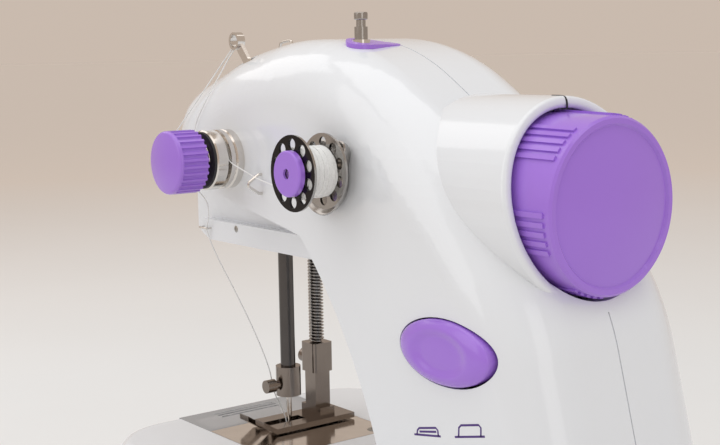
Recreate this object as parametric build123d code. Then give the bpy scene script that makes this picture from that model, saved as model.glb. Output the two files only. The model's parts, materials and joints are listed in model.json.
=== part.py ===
from build123d import *
import math
import os

# Frame: X to the right (handwheel side), Y to the back, Z up, origin under the middle of the base.
# Heights named *_rise count from the bed, all lengths are in millimetres.

# Base and bed
base_length = 194.0
base_depth = 110.4
base_corner = 24.0
right_end = base_length / 2
left_end = -right_end
base_edge = 4.0
base_wall = 2.6
bed_height = 46.0
foot_height = 3.0
foot_radius = 7.0
foot_inset = 22.0
floor_thickness = 2.5

# Arm and column, seen from the front
arm_depth = 64.0
shell_wall = 2.4
arm_edge = 18.0
throat_height = 65.5
arm_height = 63.9
head_left = left_end + 12.0
head_corner = 7.0
brow_drop = 24.6
brow_radius = 22.0
crown_left = left_end + 59.0
crown_right = right_end - 93.0
crown_radius = 74.0
shoulder_x = right_end - 53.0
shoulder_drop = 25.0
shoulder_radius = 150.0
hip_x = right_end - 17.0
hip_drop = 64.0
hip_radius = 60.0
arch_foot_x = right_end - 64.0
arch_mid = (right_end - 74.7, 32.1)
panel_edge_x = left_end + 44.0
panel_edge_drop = 11.0
arch_tip_drop = 20.0
recess_depth = 12.0
face_plate_height = 6.6
face_plate_depth = 3.5
seam_width = 0.4
seam_depth = 0.5

# Collar and handwheel
shaft_rise = 87.0
collar_radius = 26.8
collar_bore = 23.7
collar_root_x = right_end - 63.0
collar_rim_x = right_end - 25.0
collar_lean = 13.7
collar_floor_x = right_end - 37.6
rim_round = 1.3
wheel_gap = 0.8
wheel_face_x = right_end - 15.0
wheel_face_radius = 22.3
wheel_taper = 1.5
wheel_disc_radius = 20.4
wheel_crown = 1.6
wheel_edge = 0.6
wheel_hub_radius = 6.0
wheel_wall = 2.6
rib_groups = 6
ribs_in_group = 5
rib_pitch = 6.0
rib_phase = 31.0
rib_width = 1.3
rib_height = 0.5
rib_end_gap = 2.2

# Main shaft, crank, belts and motor
shaft_radius = 3.0
running_gap = 0.03
free_gap = 0.5
ear_rim = 5.0
crank_radius = 13.0
crank_throw = 10.0
crank_pin_radius = 2.0
crank_thickness = 4.0
crank_stand_off = 13.0
crank_pin_gap = 2.0
crank_notch = 4.0
frame_plate = 2.0
frame_left_x = left_end + 57.0
frame_right_x = right_end - 42.0
frame_ear = 4.0
frame_height = 9.0
frame_lift = 0.6
belt_gap = 0.3
timing_radius = 8.0
timing_x = right_end - 57.0
timing_width = 6.0
timing_belt_thickness = 1.2
belt_side_room = 4.0
belt_end_room = 2.0
pulley_hub = 2.0
drive_radius = 13.0
drive_x = right_end - 50.0
drive_width = 2.6
drive_belt_thickness = 1.5
motor_rise = 32.0
motor_radius = 12.0
motor_length = 27.0
motor_pulley_radius = 4.0
motor_shaft_radius = 1.0
motor_flange = 2.0
motor_stand_off = 3.0
motor_wall = 1.5
rotor_radius = 8.5
rotor_gap = 1.5

# Needle side
needle_x = left_end + 35.0
needle_bar_radius = 2.5
needle_bar_top_rise = 86.0
needle_clamp_rise = 11.0
needle_clamp_floor = 2.0
clamp_screw_radius = 1.4
clamp_screw_head = 2.2
clamp_screw_depth = 3.4
clamp_screw_reach = 5.0
needle_clamp_height = 10.0
needle_clamp_radius = 4.2
needle_radius = 0.5
needle_shank_radius = 0.9
needle_drop = 13.0
needle_shank = 7.0
needle_shoulder = 2.0
needle_point = 4.0
bush_wall = 2.0
bush_below = 1.5
needle_bush_height = 7.5
yoke_height = 8.0
yoke_reach = 13.0
yoke_plate = 2.0
yoke_wall = 2.0
yoke_end = 1.6
yoke_slot_gap = 0.2

# Presser side
presser_y = 12.0
presser_bar_radius = 1.7
presser_bar_top_rise = 84.0
presser_bush_height = 6.0
presser_clamp_rise = 17.5
presser_clamp_height = 10.0
presser_clamp_width = 8.0
presser_clamp_round = 1.2
presser_screw_radius = 2.4
presser_screw_reach = 4.0
spring_wire = 0.7
spring_clearance = 0.25
spring_turns = 18
foot_rest_gap = 0.5
foot_width = 15.0
foot_front = 15.0
foot_back = 10.0
foot_sole = 1.8
foot_slot = 4.4
foot_slot_end = 7.0
foot_toe = 5.0
foot_toe_rise = 3.2
foot_shank = 6.0
foot_rib = 5.0
foot_rib_inset = 2.0
lifter_x = left_end + 51.0
lifter_rise = 73.0
lifter_arm = 9.0
lifter_angle = 20.0
lifter_arm_y = 14.0
lifter_arm_width = 5.0
lifter_tip_radius = 1.2
lifter_shaft_radius = 2.0
lifter_handle = 25.0
lifter_handle_width = 6.0
lifter_handle_depth = 3.5
lug_wall = 2.0
lug_height = 5.0

# Take-up lever
lever_y = -22.0
lever_thickness = 1.2
lever_width = 2.8
lever_pivot_x = left_end + 43.0
lever_pivot_rise = 96.0
lever_hub_radius = 4.2
lever_hub_width = 4.0
lever_pivot_end = 1.0
lever_knee = (8.0, 25.5)
lever_eye = (0.6, 33.5)
lever_bend = 5.0
eye_radius = 2.75
eye_proud = 0.7
eye_hole = 2.0
slot_width = 3.4
slot_right_x = left_end + 54.4
slot_low_rise = 90.0

# Thread tension
tension_x = left_end + 53.0
tension_rise = 94.0
tension_stud_radius = 2.0
disc_radius = 9.0
ring_depth = 2.6
ring_edge = 0.5
rear_disc_depth = 2.4
front_disc_depth = 4.2
disc_rim = 0.6
disc_contact = 6.5
disc_edge = 0.4
washer_depth = 0.8
washer_inset = 0.5
tension_spring_radius = 6.0
tension_spring_wire = 0.7
tension_spring_gap = 0.3
tension_spring_turns = 1
knob_gap = 2.4
knob_radius = 9.4
knob_depth = 10.6
knob_grip = 6.4
knob_edge = 1.0
knob_dome = 1.2
knob_ribs = 28
knob_groove = 0.7
nut_radius = 4.0
nut_depth = 3.0

# Bobbin on the front
bobbin_x = right_end - 85.0
bobbin_rise = 94.0
bobbin_radius = 10.25
bobbin_width = 10.7
flange_thickness = 0.7
bobbin_stand_off = 4.3
bobbin_core_radius = 4.0
bobbin_bore = 3.0
flange_holes = 10
flange_hole_radius = 1.6
flange_hole_phase = 18.0
flange_hole_circle = 7.7
winding_radius = 6.95
thread_diameter = 0.42
thread_gap = 0.02
winding_turns = 10
spindle_radius = 2.95
spindle_step = 1.0
spindle_pin_radius = 1.95
spindle_nut_radius = 5.0
cap_radius = 6.2
cap_depth = 1.8
cap_gap = 0.2
cap_round = 0.6
cap_grip = 1.1
cap_hole = 1.4
drag_cup_wall = 0.8
drag_cup_height = 24.8
drag_cup_width = 18.6
drag_cup_foot = 0.72
drag_cup_lean = 20.0
drag_cup_gap = 0.4

# Wire guides
guide_wire = 0.9
guide_x = left_end + 71.0
guide_rise = 87.5
guide_height = 5.6
guide_reach = 5.4
guide_foot = 1.0
guide_bends = (0.6, 0.9, 0.6)
rear_guide_x = left_end + 56.0
rear_guide_y = -12.0
rear_guide_length = 8.0
rear_guide_height = 0.9
rear_guide_root = 4.0
rear_guide_bend = 1.2

# Spool rod
rod_x_place = right_end - 97.2
rod_y_place = -14.0
rod_tube_radius = 2.6
rod_mid_radius = 1.9
rod_inner_radius = 1.35
rod_cap_radius = 1.95
rod_cap_height = 2.2
rod_neck = 1.9
rod_mid_above = 3.6
rod_depth = 38.0
seat_thickness = 1.2
seat_radius = 4.4
seat_tail = 13.0
seat_tip = 1.0
rod_dome_drop = 1.6
rod_floor = 1.0
rod_play = 0.5
rod_cap_round = 0.4

# Push button
button_x = right_end - 41.8
button_rise = 50.9
button_length = 34.4
button_height = 16.6
button_proud = 2.4
button_round = 2.2
button_gap = 0.4
button_lip = 1.2
button_lip_depth = 1.6
button_travel = 3.0
switch_wall = 2.0
switch_depth = 14.0

# Bed, hook and feed
plate_thickness = 1.4
plate_left_x = left_end + 23.0
plate_right_x = left_end + 61.0
plate_depth = 48.0
plate_gap = 0.2
plate_ledge = 3.0
grip_rows = 3
grip_pitch = 2.4
grip_inset = 4.0
grip_radius = 0.5
feed_slot_width = 3.4
feed_bar_width = 2.4
feed_bar_spread = 4.2
feed_bar_front = -4.0
feed_bar_back = 14.0
feed_travel = 1.5
feed_block_height = 5.0
feed_block_width = 13.0
feed_block_front = 4.0
feed_block_drop = 1.6
feed_end_gap = 0.8
feed_tooth = 0.8
feed_tooth_pitch = 1.7
feed_rail_y = 16.0
feed_rail_depth = 10.0
lower_shaft_rise = -24.0
lower_shaft_radius = 2.5
lower_bearing_left_x = left_end + 57.0
lower_bearing_right_x = right_end - 69.0
lower_bearing_width = 5.0
lower_bearing_rim = 5.0
hook_left_x = left_end + 39.0
hook_width = 11.0
hook_radius = 11.0
hook_wall = 1.6
hook_back = 3.0
hook_post_inset = 2.0
hook_beak = 30.0
needle_hole = 1.6

# Underside and inlets
battery_length = 108.0
battery_depth = 33.0
battery_x = 5.0
battery_inset = 22.5
battery_gap = 0.3
battery_lip = 2.0
tray_height = 17.0
tray_wall = 1.6
jack_rise = -24.0
dc_jack_x = right_end - 49.0
pedal_jack_x = right_end - 31.0
jack_radius = 5.0
jack_depth = 12.0
dc_jack_bore = 2.8
pedal_jack_bore = 1.8
jack_flange = 1.5
jack_floor = 2.0

head_bottom = bed_height + throat_height
dome_top = head_bottom + arm_height
shaft_z = bed_height + shaft_rise
half_depth = arm_depth / 2
panel_y = -half_depth
inner_front_y = panel_y + shell_wall
inner_back_y = half_depth - shell_wall
recess_y = panel_y + recess_depth
floor_top = foot_height + floor_thickness
needle_clamp_z = bed_height + needle_clamp_rise
tension_z = bed_height + tension_rise
bobbin_z = bed_height + bobbin_rise
button_z = bed_height + button_rise
lifter_z = bed_height + lifter_rise
lever_z = bed_height + lever_pivot_rise
lower_shaft_z = bed_height + lower_shaft_rise
motor_z = bed_height + motor_rise
plate_bottom = bed_height - plate_thickness
bush_bottom = head_bottom - bush_below
presser_clamp_z = bed_height + presser_clamp_rise
presser_clamp_top = presser_clamp_z + presser_clamp_height
crank_x = frame_left_x - crank_stand_off
crank_pin_end = needle_x + needle_bar_radius + crank_pin_gap
panel_edge_rise = tension_rise - panel_edge_drop
arch_tip = (right_end - 104.0, tension_rise - arch_tip_drop)
battery_y = battery_inset - base_depth / 2
motor_left = drive_x + drive_width + motor_stand_off
spring_radius = presser_bar_radius + spring_clearance + spring_wire / 2
far = 300.0


def block(x0, x1, y0, y1, z0, z1):
    size = Box(x1 - x0, y1 - y0, z1 - z0)
    return Pos((x0 + x1) / 2, (y0 + y1) / 2, (z0 + z1) / 2) * size


def rod_x(x0, x1, radius, y, z):
    return Pos((x0 + x1) / 2, y, z) * Rot(0, 90, 0) * Cylinder(radius, x1 - x0)


def rod_y(y0, y1, radius, x, z):
    return Pos(x, (y0 + y1) / 2, z) * Rot(90, 0, 0) * Cylinder(radius, y1 - y0)


def rod_z(z0, z1, radius, x, y):
    return Pos(x, y, (z0 + z1) / 2) * Cylinder(radius, z1 - z0)


# A profile of (radius, along) points turned about a line along Y
def turned_y(points, x, z):
    face = make_face(Polyline(*[(radius, along, 0) for radius, along in points], close=True))
    return Pos(x, 0, z) * revolve(face, Axis.Y)


# Point on the arc from a to b that leaves a along the unit vector t, half way round
def arc_middle(a, t, b):
    chord = b - a
    along = chord.normalized()
    side = t - along * t.dot(along)
    half_angle = math.acos(max(-1.0, min(1.0, t.dot(along)))) / 2
    return a + chord * 0.5 + side.normalized() * (chord.length / 2 * math.tan(half_angle))


# A helix about +Z as pairs of arcs, one pair for each quarter turn
def helix_wire(radius, pitch, turns):
    def place(angle):
        return Vector(radius * math.cos(angle), radius * math.sin(angle), pitch * angle / (2 * math.pi))

    def heading(angle):
        climb = pitch / (2 * math.pi)
        return Vector(-radius * math.sin(angle), radius * math.cos(angle), climb).normalized()

    edges = []
    for step in range(round(4 * turns)):
        first = step * math.pi / 2
        last = first + math.pi / 2
        a, b = place(first), place(last)
        ta, tb = heading(first), heading(last)
        chord, lean = b - a, ta + tb
        bend = 2 * (1 - ta.dot(tb))
        reach = (math.sqrt(chord.dot(lean) ** 2 + bend * chord.dot(chord)) - chord.dot(lean)) / bend
        joint = (a + b + (ta - tb) * reach) * 0.5
        edges.append(Edge.make_three_point_arc(a, arc_middle(a, ta, joint), joint))
        edges.append(Edge.make_three_point_arc(joint, arc_middle(b, tb * -1, joint), b))
    return Wire(edges)


# A wound wire about +Z from z = 0, with its least gap to itself measured on points and printed
def coil(name, radius, pitch, turns, wire):
    path = helix_wire(radius, pitch, turns)
    section = Plane(origin=path @ 0, z_dir=path % 0) * Circle(wire / 2)
    per_turn = 24
    count = round(turns * per_turn)
    points = [path @ (index / count) for index in range(count + 1)]
    nearest = far
    for index, point in enumerate(points):
        for other in points[index + per_turn // 2:index + 2 * per_turn]:
            nearest = min(nearest, (point - other).length)
    print(f"{name}: least gap {nearest - wire:.2f} mm")
    return sweep(section, path=path)


# Front elevation of arm and column, filled down to the bed
def arm_face():
    crown = FilletPolyline(
        (head_left, bed_height),
        (head_left, dome_top - brow_drop),
        (crown_left, dome_top),
        (crown_right, dome_top),
        (shoulder_x, dome_top - shoulder_drop),
        (hip_x, dome_top - hip_drop),
        (right_end, bed_height),
        radius=[brow_radius, crown_radius, crown_radius, shoulder_radius, hip_radius],
    )
    sill = Line(crown @ 1, crown @ 0)
    return make_face([crown, sill])


# The free space left of the arch and under the front panel's slanting edge
def throat_face():
    foot = (arch_foot_x, bed_height)
    tip = (arch_tip[0], bed_height + arch_tip[1])
    arch = ThreePointArc(foot, (arch_mid[0], bed_height + arch_mid[1]), tip)
    rise = (panel_edge_rise - arch_tip[1]) / (arch_tip[0] - panel_edge_x)
    far_left = (-far, tip[1] + rise * (arch_tip[0] + far))
    outside = Polyline(tip, far_left, (-far, -far), (arch_foot_x, -far), foot)
    return make_face([arch, outside])


def throat_solid(inset=0.0):
    face = throat_face()
    if inset:
        face = offset(face, inset, kind=Kind.INTERSECTION)
    return extrude(Plane.XZ * face, far, both=True)


# Arm and column as one rounded solid, a wall thickness further in where inset is given
def rounded_arm(inset=0.0):
    face = arm_face()
    if inset:
        face = offset(face, -inset, kind=Kind.INTERSECTION)
    depth = half_depth - inset
    solid = extrude(Plane.XZ * face, depth, both=True)
    lowest = bed_height + inset
    rounded = []
    for edge in solid.edges():
        middle = edge.center()
        on_front_or_back = abs(abs(middle.Y) - depth) < 0.01
        if on_front_or_back and middle.Z > lowest + 0.01:
            rounded.append(edge)
    return fillet(rounded, arm_edge - inset)


def arm_solid(inset=0.0):
    gap = throat_solid(inset)
    throat = gap & block(-far, far, -far, far, -far, head_bottom + inset)
    recess = gap & block(-far, far, -far, recess_y + inset, -far, far)
    return rounded_arm(inset) - throat - recess - head_corner_cut(inset)


# What the rounded lower left corner of the head leaves out
def head_corner_cut(inset=0.0):
    x, z = head_left + head_corner, head_bottom + head_corner
    corner = block(head_left - 1.0, x, -far, far, head_bottom - 1.0, z)
    return corner - rod_y(-far, far, head_corner - inset, x, z)


# Collar with a bead along its leaning rim
def collar_solid():
    lean = math.radians(collar_lean)
    rim = Plane(origin=(collar_rim_x, 0, shaft_z), z_dir=(math.cos(lean), 0, math.sin(lean)))
    tube = rod_x(collar_root_x, far, collar_radius, 0, shaft_z)
    tube = split(tube - collar_cup(), bisect_by=rim, keep=Keep.BOTTOM)
    rim_face = tube.faces().sort_by(Axis.X)[-1]
    for face in tube.faces():
        if face.is_planar and abs(face.normal_at().dot(rim.z_dir)) > 0.999:
            rim_face = face
    return fillet(rim_face.edges(), rim_round)


def collar_cup():
    return rod_x(collar_floor_x, far, collar_bore, 0, shaft_z)


def button_sketch(margin=0.0):
    shape = Ellipse(button_length / 2 + margin, button_height / 2 + margin)
    return Plane.XZ * Pos(button_x, button_z) * shape


def button_block(y0, y1, margin=0.0):
    return Pos(0, y1, 0) * extrude(button_sketch(margin), y1 - y0)


def lever_slot():
    half = slot_width / 2
    return block(-far, slot_right_x, lever_y - half, lever_y + half, bed_height + slot_low_rise, far)


# Room for the belts between column and base
def belt_room(z0, z1):
    side = timing_radius + belt_side_room
    right = timing_x + timing_width + belt_end_room
    return block(timing_x - belt_end_room, right, -side, side, z0, z1)


# Groove along the line where the two shells meet
def seam():
    half = seam_width / 2
    slab = block(-far, far, -half, half, bed_height + shell_wall, far)
    return slab - rounded_arm(seam_depth) - rod_x(-far, far, collar_radius - seam_depth, 0, shaft_z)


# Hollow of the two shells
def cavity():
    floor_inner_x = collar_floor_x - shell_wall
    collar_room = rod_x(collar_root_x, floor_inner_x, collar_radius - shell_wall, 0, shaft_z)
    cup_wall = rod_x(floor_inner_x, far, collar_bore + shell_wall, 0, shaft_z)
    return arm_solid(shell_wall) - cup_wall + collar_room


def housing():
    shell = arm_solid() + collar_solid() - collar_cup() - cavity()
    boss_y = lever_y + lever_hub_width / 2 + lever_pivot_end
    pivot = rod_y(inner_front_y, boss_y, tension_stud_radius, lever_pivot_x, lever_z)
    shell += pivot
    tube_z = dome_top - rod_depth
    holes = [
        rod_x(collar_root_x, far, shaft_radius + free_gap, 0, shaft_z),
        rod_y(-far, 0, tension_stud_radius, tension_x, tension_z),
        rod_y(-far, 0, spindle_radius, bobbin_x, bobbin_z),
        rod_y(0, far, lifter_shaft_radius + running_gap, lifter_x, lifter_z),
        rod_z(head_bottom - 1.0, shaft_z, needle_bar_radius + bush_wall, needle_x, 0),
        rod_z(head_bottom - 1.0, shaft_z, presser_bar_radius + bush_wall, needle_x, presser_y),
        rod_z(tube_z, far, rod_tube_radius, rod_x_place, rod_y_place),
        button_block(-far, 0, button_gap),
        lever_slot() - rod_y(inner_front_y, boss_y, tension_stud_radius, lever_pivot_x, lever_z),
        belt_room(bed_height - 1.0, bed_height + shell_wall + 1.0),
        seam(),
    ]
    for hole in holes:
        shell -= hole
    return shell


# Plastic plate in the step under the front panel
def head_cover():
    y0 = recess_y - face_plate_depth
    band = block(-far, far, y0, recess_y, head_bottom, head_bottom + face_plate_height)
    return (rounded_arm() & throat_solid(-plate_gap) & band) - head_corner_cut()


def base_shell():
    height = bed_height - foot_height
    outer = extrude(Pos(0, 0, foot_height) * RectangleRounded(base_length, base_depth, base_corner), height)
    outer = fillet(outer.faces().sort_by(Axis.Z)[-1].edges(), base_edge)
    length, depth = base_length - 2 * base_wall, base_depth - 2 * base_wall
    hollow = RectangleRounded(length, depth, base_corner - base_wall)
    shell = outer - extrude(Pos(0, 0, foot_height) * hollow, height - base_wall)
    half_plate = plate_depth / 2 + plate_gap
    pocket = block(left_end, plate_right_x + plate_gap, -half_plate, half_plate, plate_bottom, far)
    inside = plate_depth / 2 - plate_ledge
    window = block(plate_left_x + plate_ledge, plate_right_x - plate_ledge, -inside, inside, foot_height, far)
    cover_window_x = left_end + base_edge + plate_ledge
    cover_window = block(cover_window_x, plate_left_x - plate_ledge, -inside, inside, foot_height, far)
    jack_z = bed_height + jack_rise
    dc_hole = rod_y(0, far, jack_radius, dc_jack_x, jack_z)
    pedal_hole = rod_y(0, far, jack_radius, pedal_jack_x, jack_z)
    return shell - pocket - window - cover_window - belt_room(foot_height, far) - dc_hole - pedal_hole


def bearing(x0):
    half = lower_shaft_radius + lower_bearing_rim
    wall = block(x0, x0 + lower_bearing_width, -half, half, floor_top, lower_shaft_z)
    wall += rod_x(x0, x0 + lower_bearing_width, half, 0, lower_shaft_z)
    return wall - rod_x(-far, far, lower_shaft_radius + running_gap, 0, lower_shaft_z)


# Bottom plate with the battery tray, the bearings of the lower shaft and the rail of the feed dog
def bottom_cover():
    length = base_length - 2 * base_wall - 2 * plate_gap
    depth = base_depth - 2 * base_wall - 2 * plate_gap
    corner = base_corner - base_wall - plate_gap
    plate = extrude(Pos(0, 0, foot_height) * RectangleRounded(length, depth, corner), floor_thickness)
    plate += bearing(lower_bearing_left_x) + bearing(lower_bearing_right_x)
    half = feed_block_width / 2
    rail_top = plate_bottom - feed_block_drop - feed_block_height
    rail_back = feed_rail_y + feed_rail_depth
    plate += block(needle_x - half, needle_x + half, feed_rail_y, rail_back, floor_top, rail_top)
    plate += battery_block(tray_wall - battery_lip, floor_top, floor_top + tray_height + tray_wall)
    plate -= battery_block(0, foot_height, foot_height + floor_thickness / 2)
    return plate - battery_block(-battery_lip, foot_height, floor_top + tray_height)


# Box of the battery bay's outline, grown by margin
def battery_block(margin, z0, z1):
    half_length, half_width = battery_length / 2 + margin, battery_depth / 2 + margin
    return block(battery_x - half_length, battery_x + half_length,
                 battery_y - half_width, battery_y + half_width, z0, z1)


def battery_cover():
    return battery_block(-battery_gap, foot_height, foot_height + floor_thickness / 2)


def foot(x, y):
    pad = rod_z(0, foot_height, foot_radius, x, y)
    return chamfer(pad.faces().sort_by(Axis.Z)[0].edges(), foot_height / 4)


def needle_plate():
    half = plate_depth / 2
    plate = block(plate_left_x + plate_gap, plate_right_x, -half, half, plate_bottom, bed_height)
    for side in (-1, 1):
        middle = needle_x + side * feed_bar_spread
        room = feed_travel + feed_end_gap
        plate -= block(middle - feed_slot_width / 2, middle + feed_slot_width / 2,
                       feed_bar_front - room, feed_bar_back + room, 0, far)
    return plate - rod_z(0, far, needle_hole, needle_x, 0)


# Cover over the hook, which slides off to the left
def slide_cover():
    half = plate_depth / 2
    left = left_end + base_edge / 2
    cover = block(left, plate_left_x, -half, half, plate_bottom, bed_height)
    for row in range(grip_rows):
        x = left + grip_inset + row * grip_pitch
        cover -= rod_y(-half / 2, half / 2, grip_radius, x, bed_height)
    return cover


def feed_dog():
    half = feed_block_width / 2
    block_top = plate_bottom - feed_block_drop
    block_bottom = block_top - feed_block_height
    block_back = feed_rail_y + feed_rail_depth
    dog = block(needle_x - half, needle_x + half, feed_block_front, block_back, block_bottom, block_top)
    for side in (-1, 1):
        middle = needle_x + side * feed_bar_spread
        bar = block(middle - feed_bar_width / 2, middle + feed_bar_width / 2,
                    feed_bar_front, feed_bar_back, block_top - 1.0, bed_height)
        teeth = int((feed_bar_back - feed_bar_front) / feed_tooth_pitch)
        for tooth in range(teeth):
            y = feed_bar_front + (tooth + 0.5) * feed_tooth_pitch
            notch = Box(2 * feed_bar_width, feed_tooth, feed_tooth)
            bar -= Pos(middle, y, bed_height) * Rot(45, 0, 0) * notch
        dog += bar
    return dog


def lower_shaft():
    right = timing_x + timing_width + belt_end_room
    shaft = rod_x(hook_left_x + hook_width, right, lower_shaft_radius, 0, lower_shaft_z)
    return shaft + rod_x(timing_x, timing_x + timing_width, timing_radius, 0, lower_shaft_z)


# Open cup with a pointed beak along its rim
def hook():
    right = hook_left_x + hook_width
    cup = rod_x(hook_left_x, right, hook_radius, 0, lower_shaft_z)
    cup -= rod_x(hook_left_x - 1, right - hook_back, hook_radius - hook_wall, 0, lower_shaft_z)
    bite = block(hook_left_x - 1, hook_left_x + hook_width / 2, -far, 0, lower_shaft_z, far)
    beak_cut = Pos(hook_left_x, -hook_radius / 2, lower_shaft_z + hook_radius) * Rot(hook_beak, 0, 0)
    bite -= beak_cut * Box(2 * hook_width, hook_radius, hook_radius)
    cup -= bite
    return cup + rod_x(hook_left_x + hook_post_inset, right, lower_shaft_radius, 0, lower_shaft_z)


# Handwheel: cup with a ringed rim, a domed disc and ribs in groups round its side
def hand_wheel():
    inner_x = collar_floor_x + wheel_gap
    slope = math.tan(math.radians(wheel_taper))
    back_radius = wheel_face_radius + (wheel_face_x - inner_x) * slope
    wall = wheel_wall
    disc_x = wheel_face_x - wheel_edge
    disc_radius_inner = wheel_disc_radius - wheel_edge
    profile = [
        (0, wheel_face_x - wall),
        (shaft_radius, wheel_face_x - wall),
        (shaft_radius, inner_x),
        (wheel_hub_radius, inner_x),
        (wheel_hub_radius, wheel_face_x - 2 * wall),
        (back_radius - wall, wheel_face_x - 2 * wall),
        (back_radius - wall, inner_x),
        (back_radius, inner_x),
        (wheel_face_radius, disc_x),
        (wheel_face_radius - wheel_edge, wheel_face_x),
        (wheel_disc_radius, wheel_face_x),
        (disc_radius_inner, disc_x),
    ]
    outline = Polyline(*[(along, 0, radius) for radius, along in profile])
    dome_radius = (disc_radius_inner ** 2 + wheel_crown ** 2) / (2 * wheel_crown)
    half_way = disc_radius_inner / 2
    half_rise = wheel_crown - dome_radius + math.sqrt(dome_radius ** 2 - half_way ** 2)
    tip = (disc_x + wheel_crown, 0, 0)
    dome = ThreePointArc(outline @ 1, (disc_x + half_rise, 0, half_way), tip)
    wheel = revolve(make_face([outline, dome, Line(tip, outline @ 0)]), Axis.X)
    rib_end = wheel_face_x - rib_end_gap
    end_radius = back_radius - (rib_end - inner_x) * slope
    side = Polyline(
        (inner_x, 0, back_radius - wall / 2), (inner_x, 0, back_radius + rib_height),
        (rib_end, 0, end_radius + rib_height), (rib_end, 0, end_radius - wall / 2), close=True,
    )
    bar = extrude(make_face(side), rib_width / 2, both=True)
    ribs = []
    for group in range(rib_groups):
        for rib in range(ribs_in_group):
            angle = rib_phase + group * 360 / rib_groups + rib * rib_pitch
            ribs.append(Rot(angle, 0, 0) * bar)
    return Pos(0, 0, shaft_z) * (wheel + ribs)


def main_shaft():
    return rod_x(crank_x, wheel_face_x - wheel_wall, shaft_radius, 0, shaft_z)


def shaft_pulleys():
    belt_wheel = rod_x(timing_x, timing_x + timing_width, timing_radius, 0, shaft_z)
    belt_wheel += rod_x(timing_x + timing_width, drive_x, shaft_radius + pulley_hub, 0, shaft_z)
    belt_wheel += rod_x(drive_x, drive_x + drive_width, drive_radius, 0, shaft_z)
    return belt_wheel - rod_x(-far, far, shaft_radius, 0, shaft_z)


# Crank disc with a counterweight cut and the pin that drives the needle bar
def needle_crank():
    right = crank_x + crank_thickness
    disc = rod_x(crank_x, right, crank_radius, 0, shaft_z)
    disc -= rod_x(crank_x, right, shaft_radius, 0, shaft_z)
    for side in (-1, 1):
        disc -= rod_x(crank_x - 1, right + 1, crank_notch, side * crank_radius, shaft_z)
    return disc + rod_x(crank_pin_end, crank_x, crank_pin_radius, 0, shaft_z - crank_throw)


# Frame plate on the back wall with two ears in which the main shaft runs
def mech_frame():
    low = head_bottom + shell_wall + frame_lift
    high, plate_y = low + frame_height, inner_back_y - frame_plate
    plate = block(frame_left_x, frame_right_x, plate_y, inner_back_y, low, high)
    ear_top = shaft_z + shaft_radius + ear_rim
    reach = shaft_radius + ear_rim
    outline = [
        (plate_y, low), (plate_y, high),
        (reach, ear_top), (-reach, ear_top), (-reach, shaft_z - reach), (reach, low),
    ]
    for x0 in (frame_left_x, frame_right_x - frame_ear):
        face = make_face(Polyline(*[(x0, y, z) for y, z in outline], close=True))
        plate += extrude(face, frame_ear, dir=(1, 0, 0))
    return (plate & cavity()) - rod_x(-far, far, shaft_radius + running_gap, 0, shaft_z)


# Closed belt round two wheels above each other on the middle plane
def belt(x0, width, thickness, top_z, top_radius, low_z, low_radius):
    def loop(extra):
        spread = top_z - low_z
        top, low = top_radius + extra, low_radius + extra
        lean = math.asin((top - low) / spread)
        face = Pos(0, top_z) * Circle(top) + Pos(0, low_z) * Circle(low)
        c, s = math.cos(lean), math.sin(lean)
        corners = [
            (top * c, top_z + top * s), (-top * c, top_z + top * s),
            (-low * c, low_z + low * s), (low * c, low_z + low * s),
        ]
        return face + make_face(Polyline(*corners, close=True))

    ring = loop(belt_gap + thickness) - loop(belt_gap)
    return extrude(Plane(origin=(x0, 0, 0), x_dir=(0, 1, 0), z_dir=(1, 0, 0)) * ring, width)


def timing_belt():
    top, low = (shaft_z, timing_radius), (lower_shaft_z, timing_radius)
    return belt(timing_x, timing_width, timing_belt_thickness, *top, *low)


def drive_belt():
    top, low = (shaft_z, drive_radius), (motor_z, motor_pulley_radius)
    return belt(drive_x, drive_width, drive_belt_thickness, *top, *low)


# Motor can with the flange that carries it from the back wall
def motor():
    left = motor_left + motor_flange
    right = left + motor_length
    can = rod_x(left, right, motor_radius, 0, motor_z)
    can -= rod_x(left, right - motor_wall, motor_radius - motor_wall, 0, motor_z)
    low, high = motor_z - motor_radius, motor_z + motor_radius
    plate = block(motor_left, left, -motor_radius, inner_back_y, low, high)
    return can + plate - rod_x(-far, left, motor_shaft_radius + running_gap, 0, motor_z)


def motor_pulley():
    left = motor_left + motor_flange
    right = left + motor_length - motor_wall
    wheel = rod_x(drive_x, drive_x + drive_width, motor_pulley_radius, 0, motor_z)
    wheel += rod_x(drive_x, right - rotor_gap / 2, motor_shaft_radius, 0, motor_z)
    return wheel + rod_x(left + rotor_gap, right - rotor_gap, rotor_radius, 0, motor_z)


def bar_bush(radius, height, y):
    sleeve = rod_z(head_bottom, bush_bottom + height, radius + bush_wall, needle_x, y)
    sleeve += rod_z(bush_bottom, head_bottom, radius + bush_wall, needle_x, y)
    return sleeve - rod_z(0, far, radius + running_gap, needle_x, y)


def needle_bar():
    low, high = needle_clamp_z + needle_clamp_floor, bed_height + needle_bar_top_rise
    return rod_z(low, high, needle_bar_radius, needle_x, 0)


# Slotted block on the needle bar, in front of the crank pin
def needle_yoke():
    middle = shaft_z - crank_throw
    low, high = middle - yoke_height / 2, middle + yoke_height / 2
    right = crank_pin_end - free_gap
    slot_half = crank_pin_radius + yoke_slot_gap
    plate = block(right - yoke_plate, right, -yoke_reach, yoke_reach, low, high)
    slot_end = yoke_reach - yoke_end
    plate -= block(right - yoke_plate / 2, right, -slot_end, slot_end, middle - slot_half, middle + slot_half)
    hub = rod_z(low, high, needle_bar_radius + yoke_wall, needle_x, 0)
    return plate + hub - rod_z(0, far, needle_bar_radius, needle_x, 0)


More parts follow.
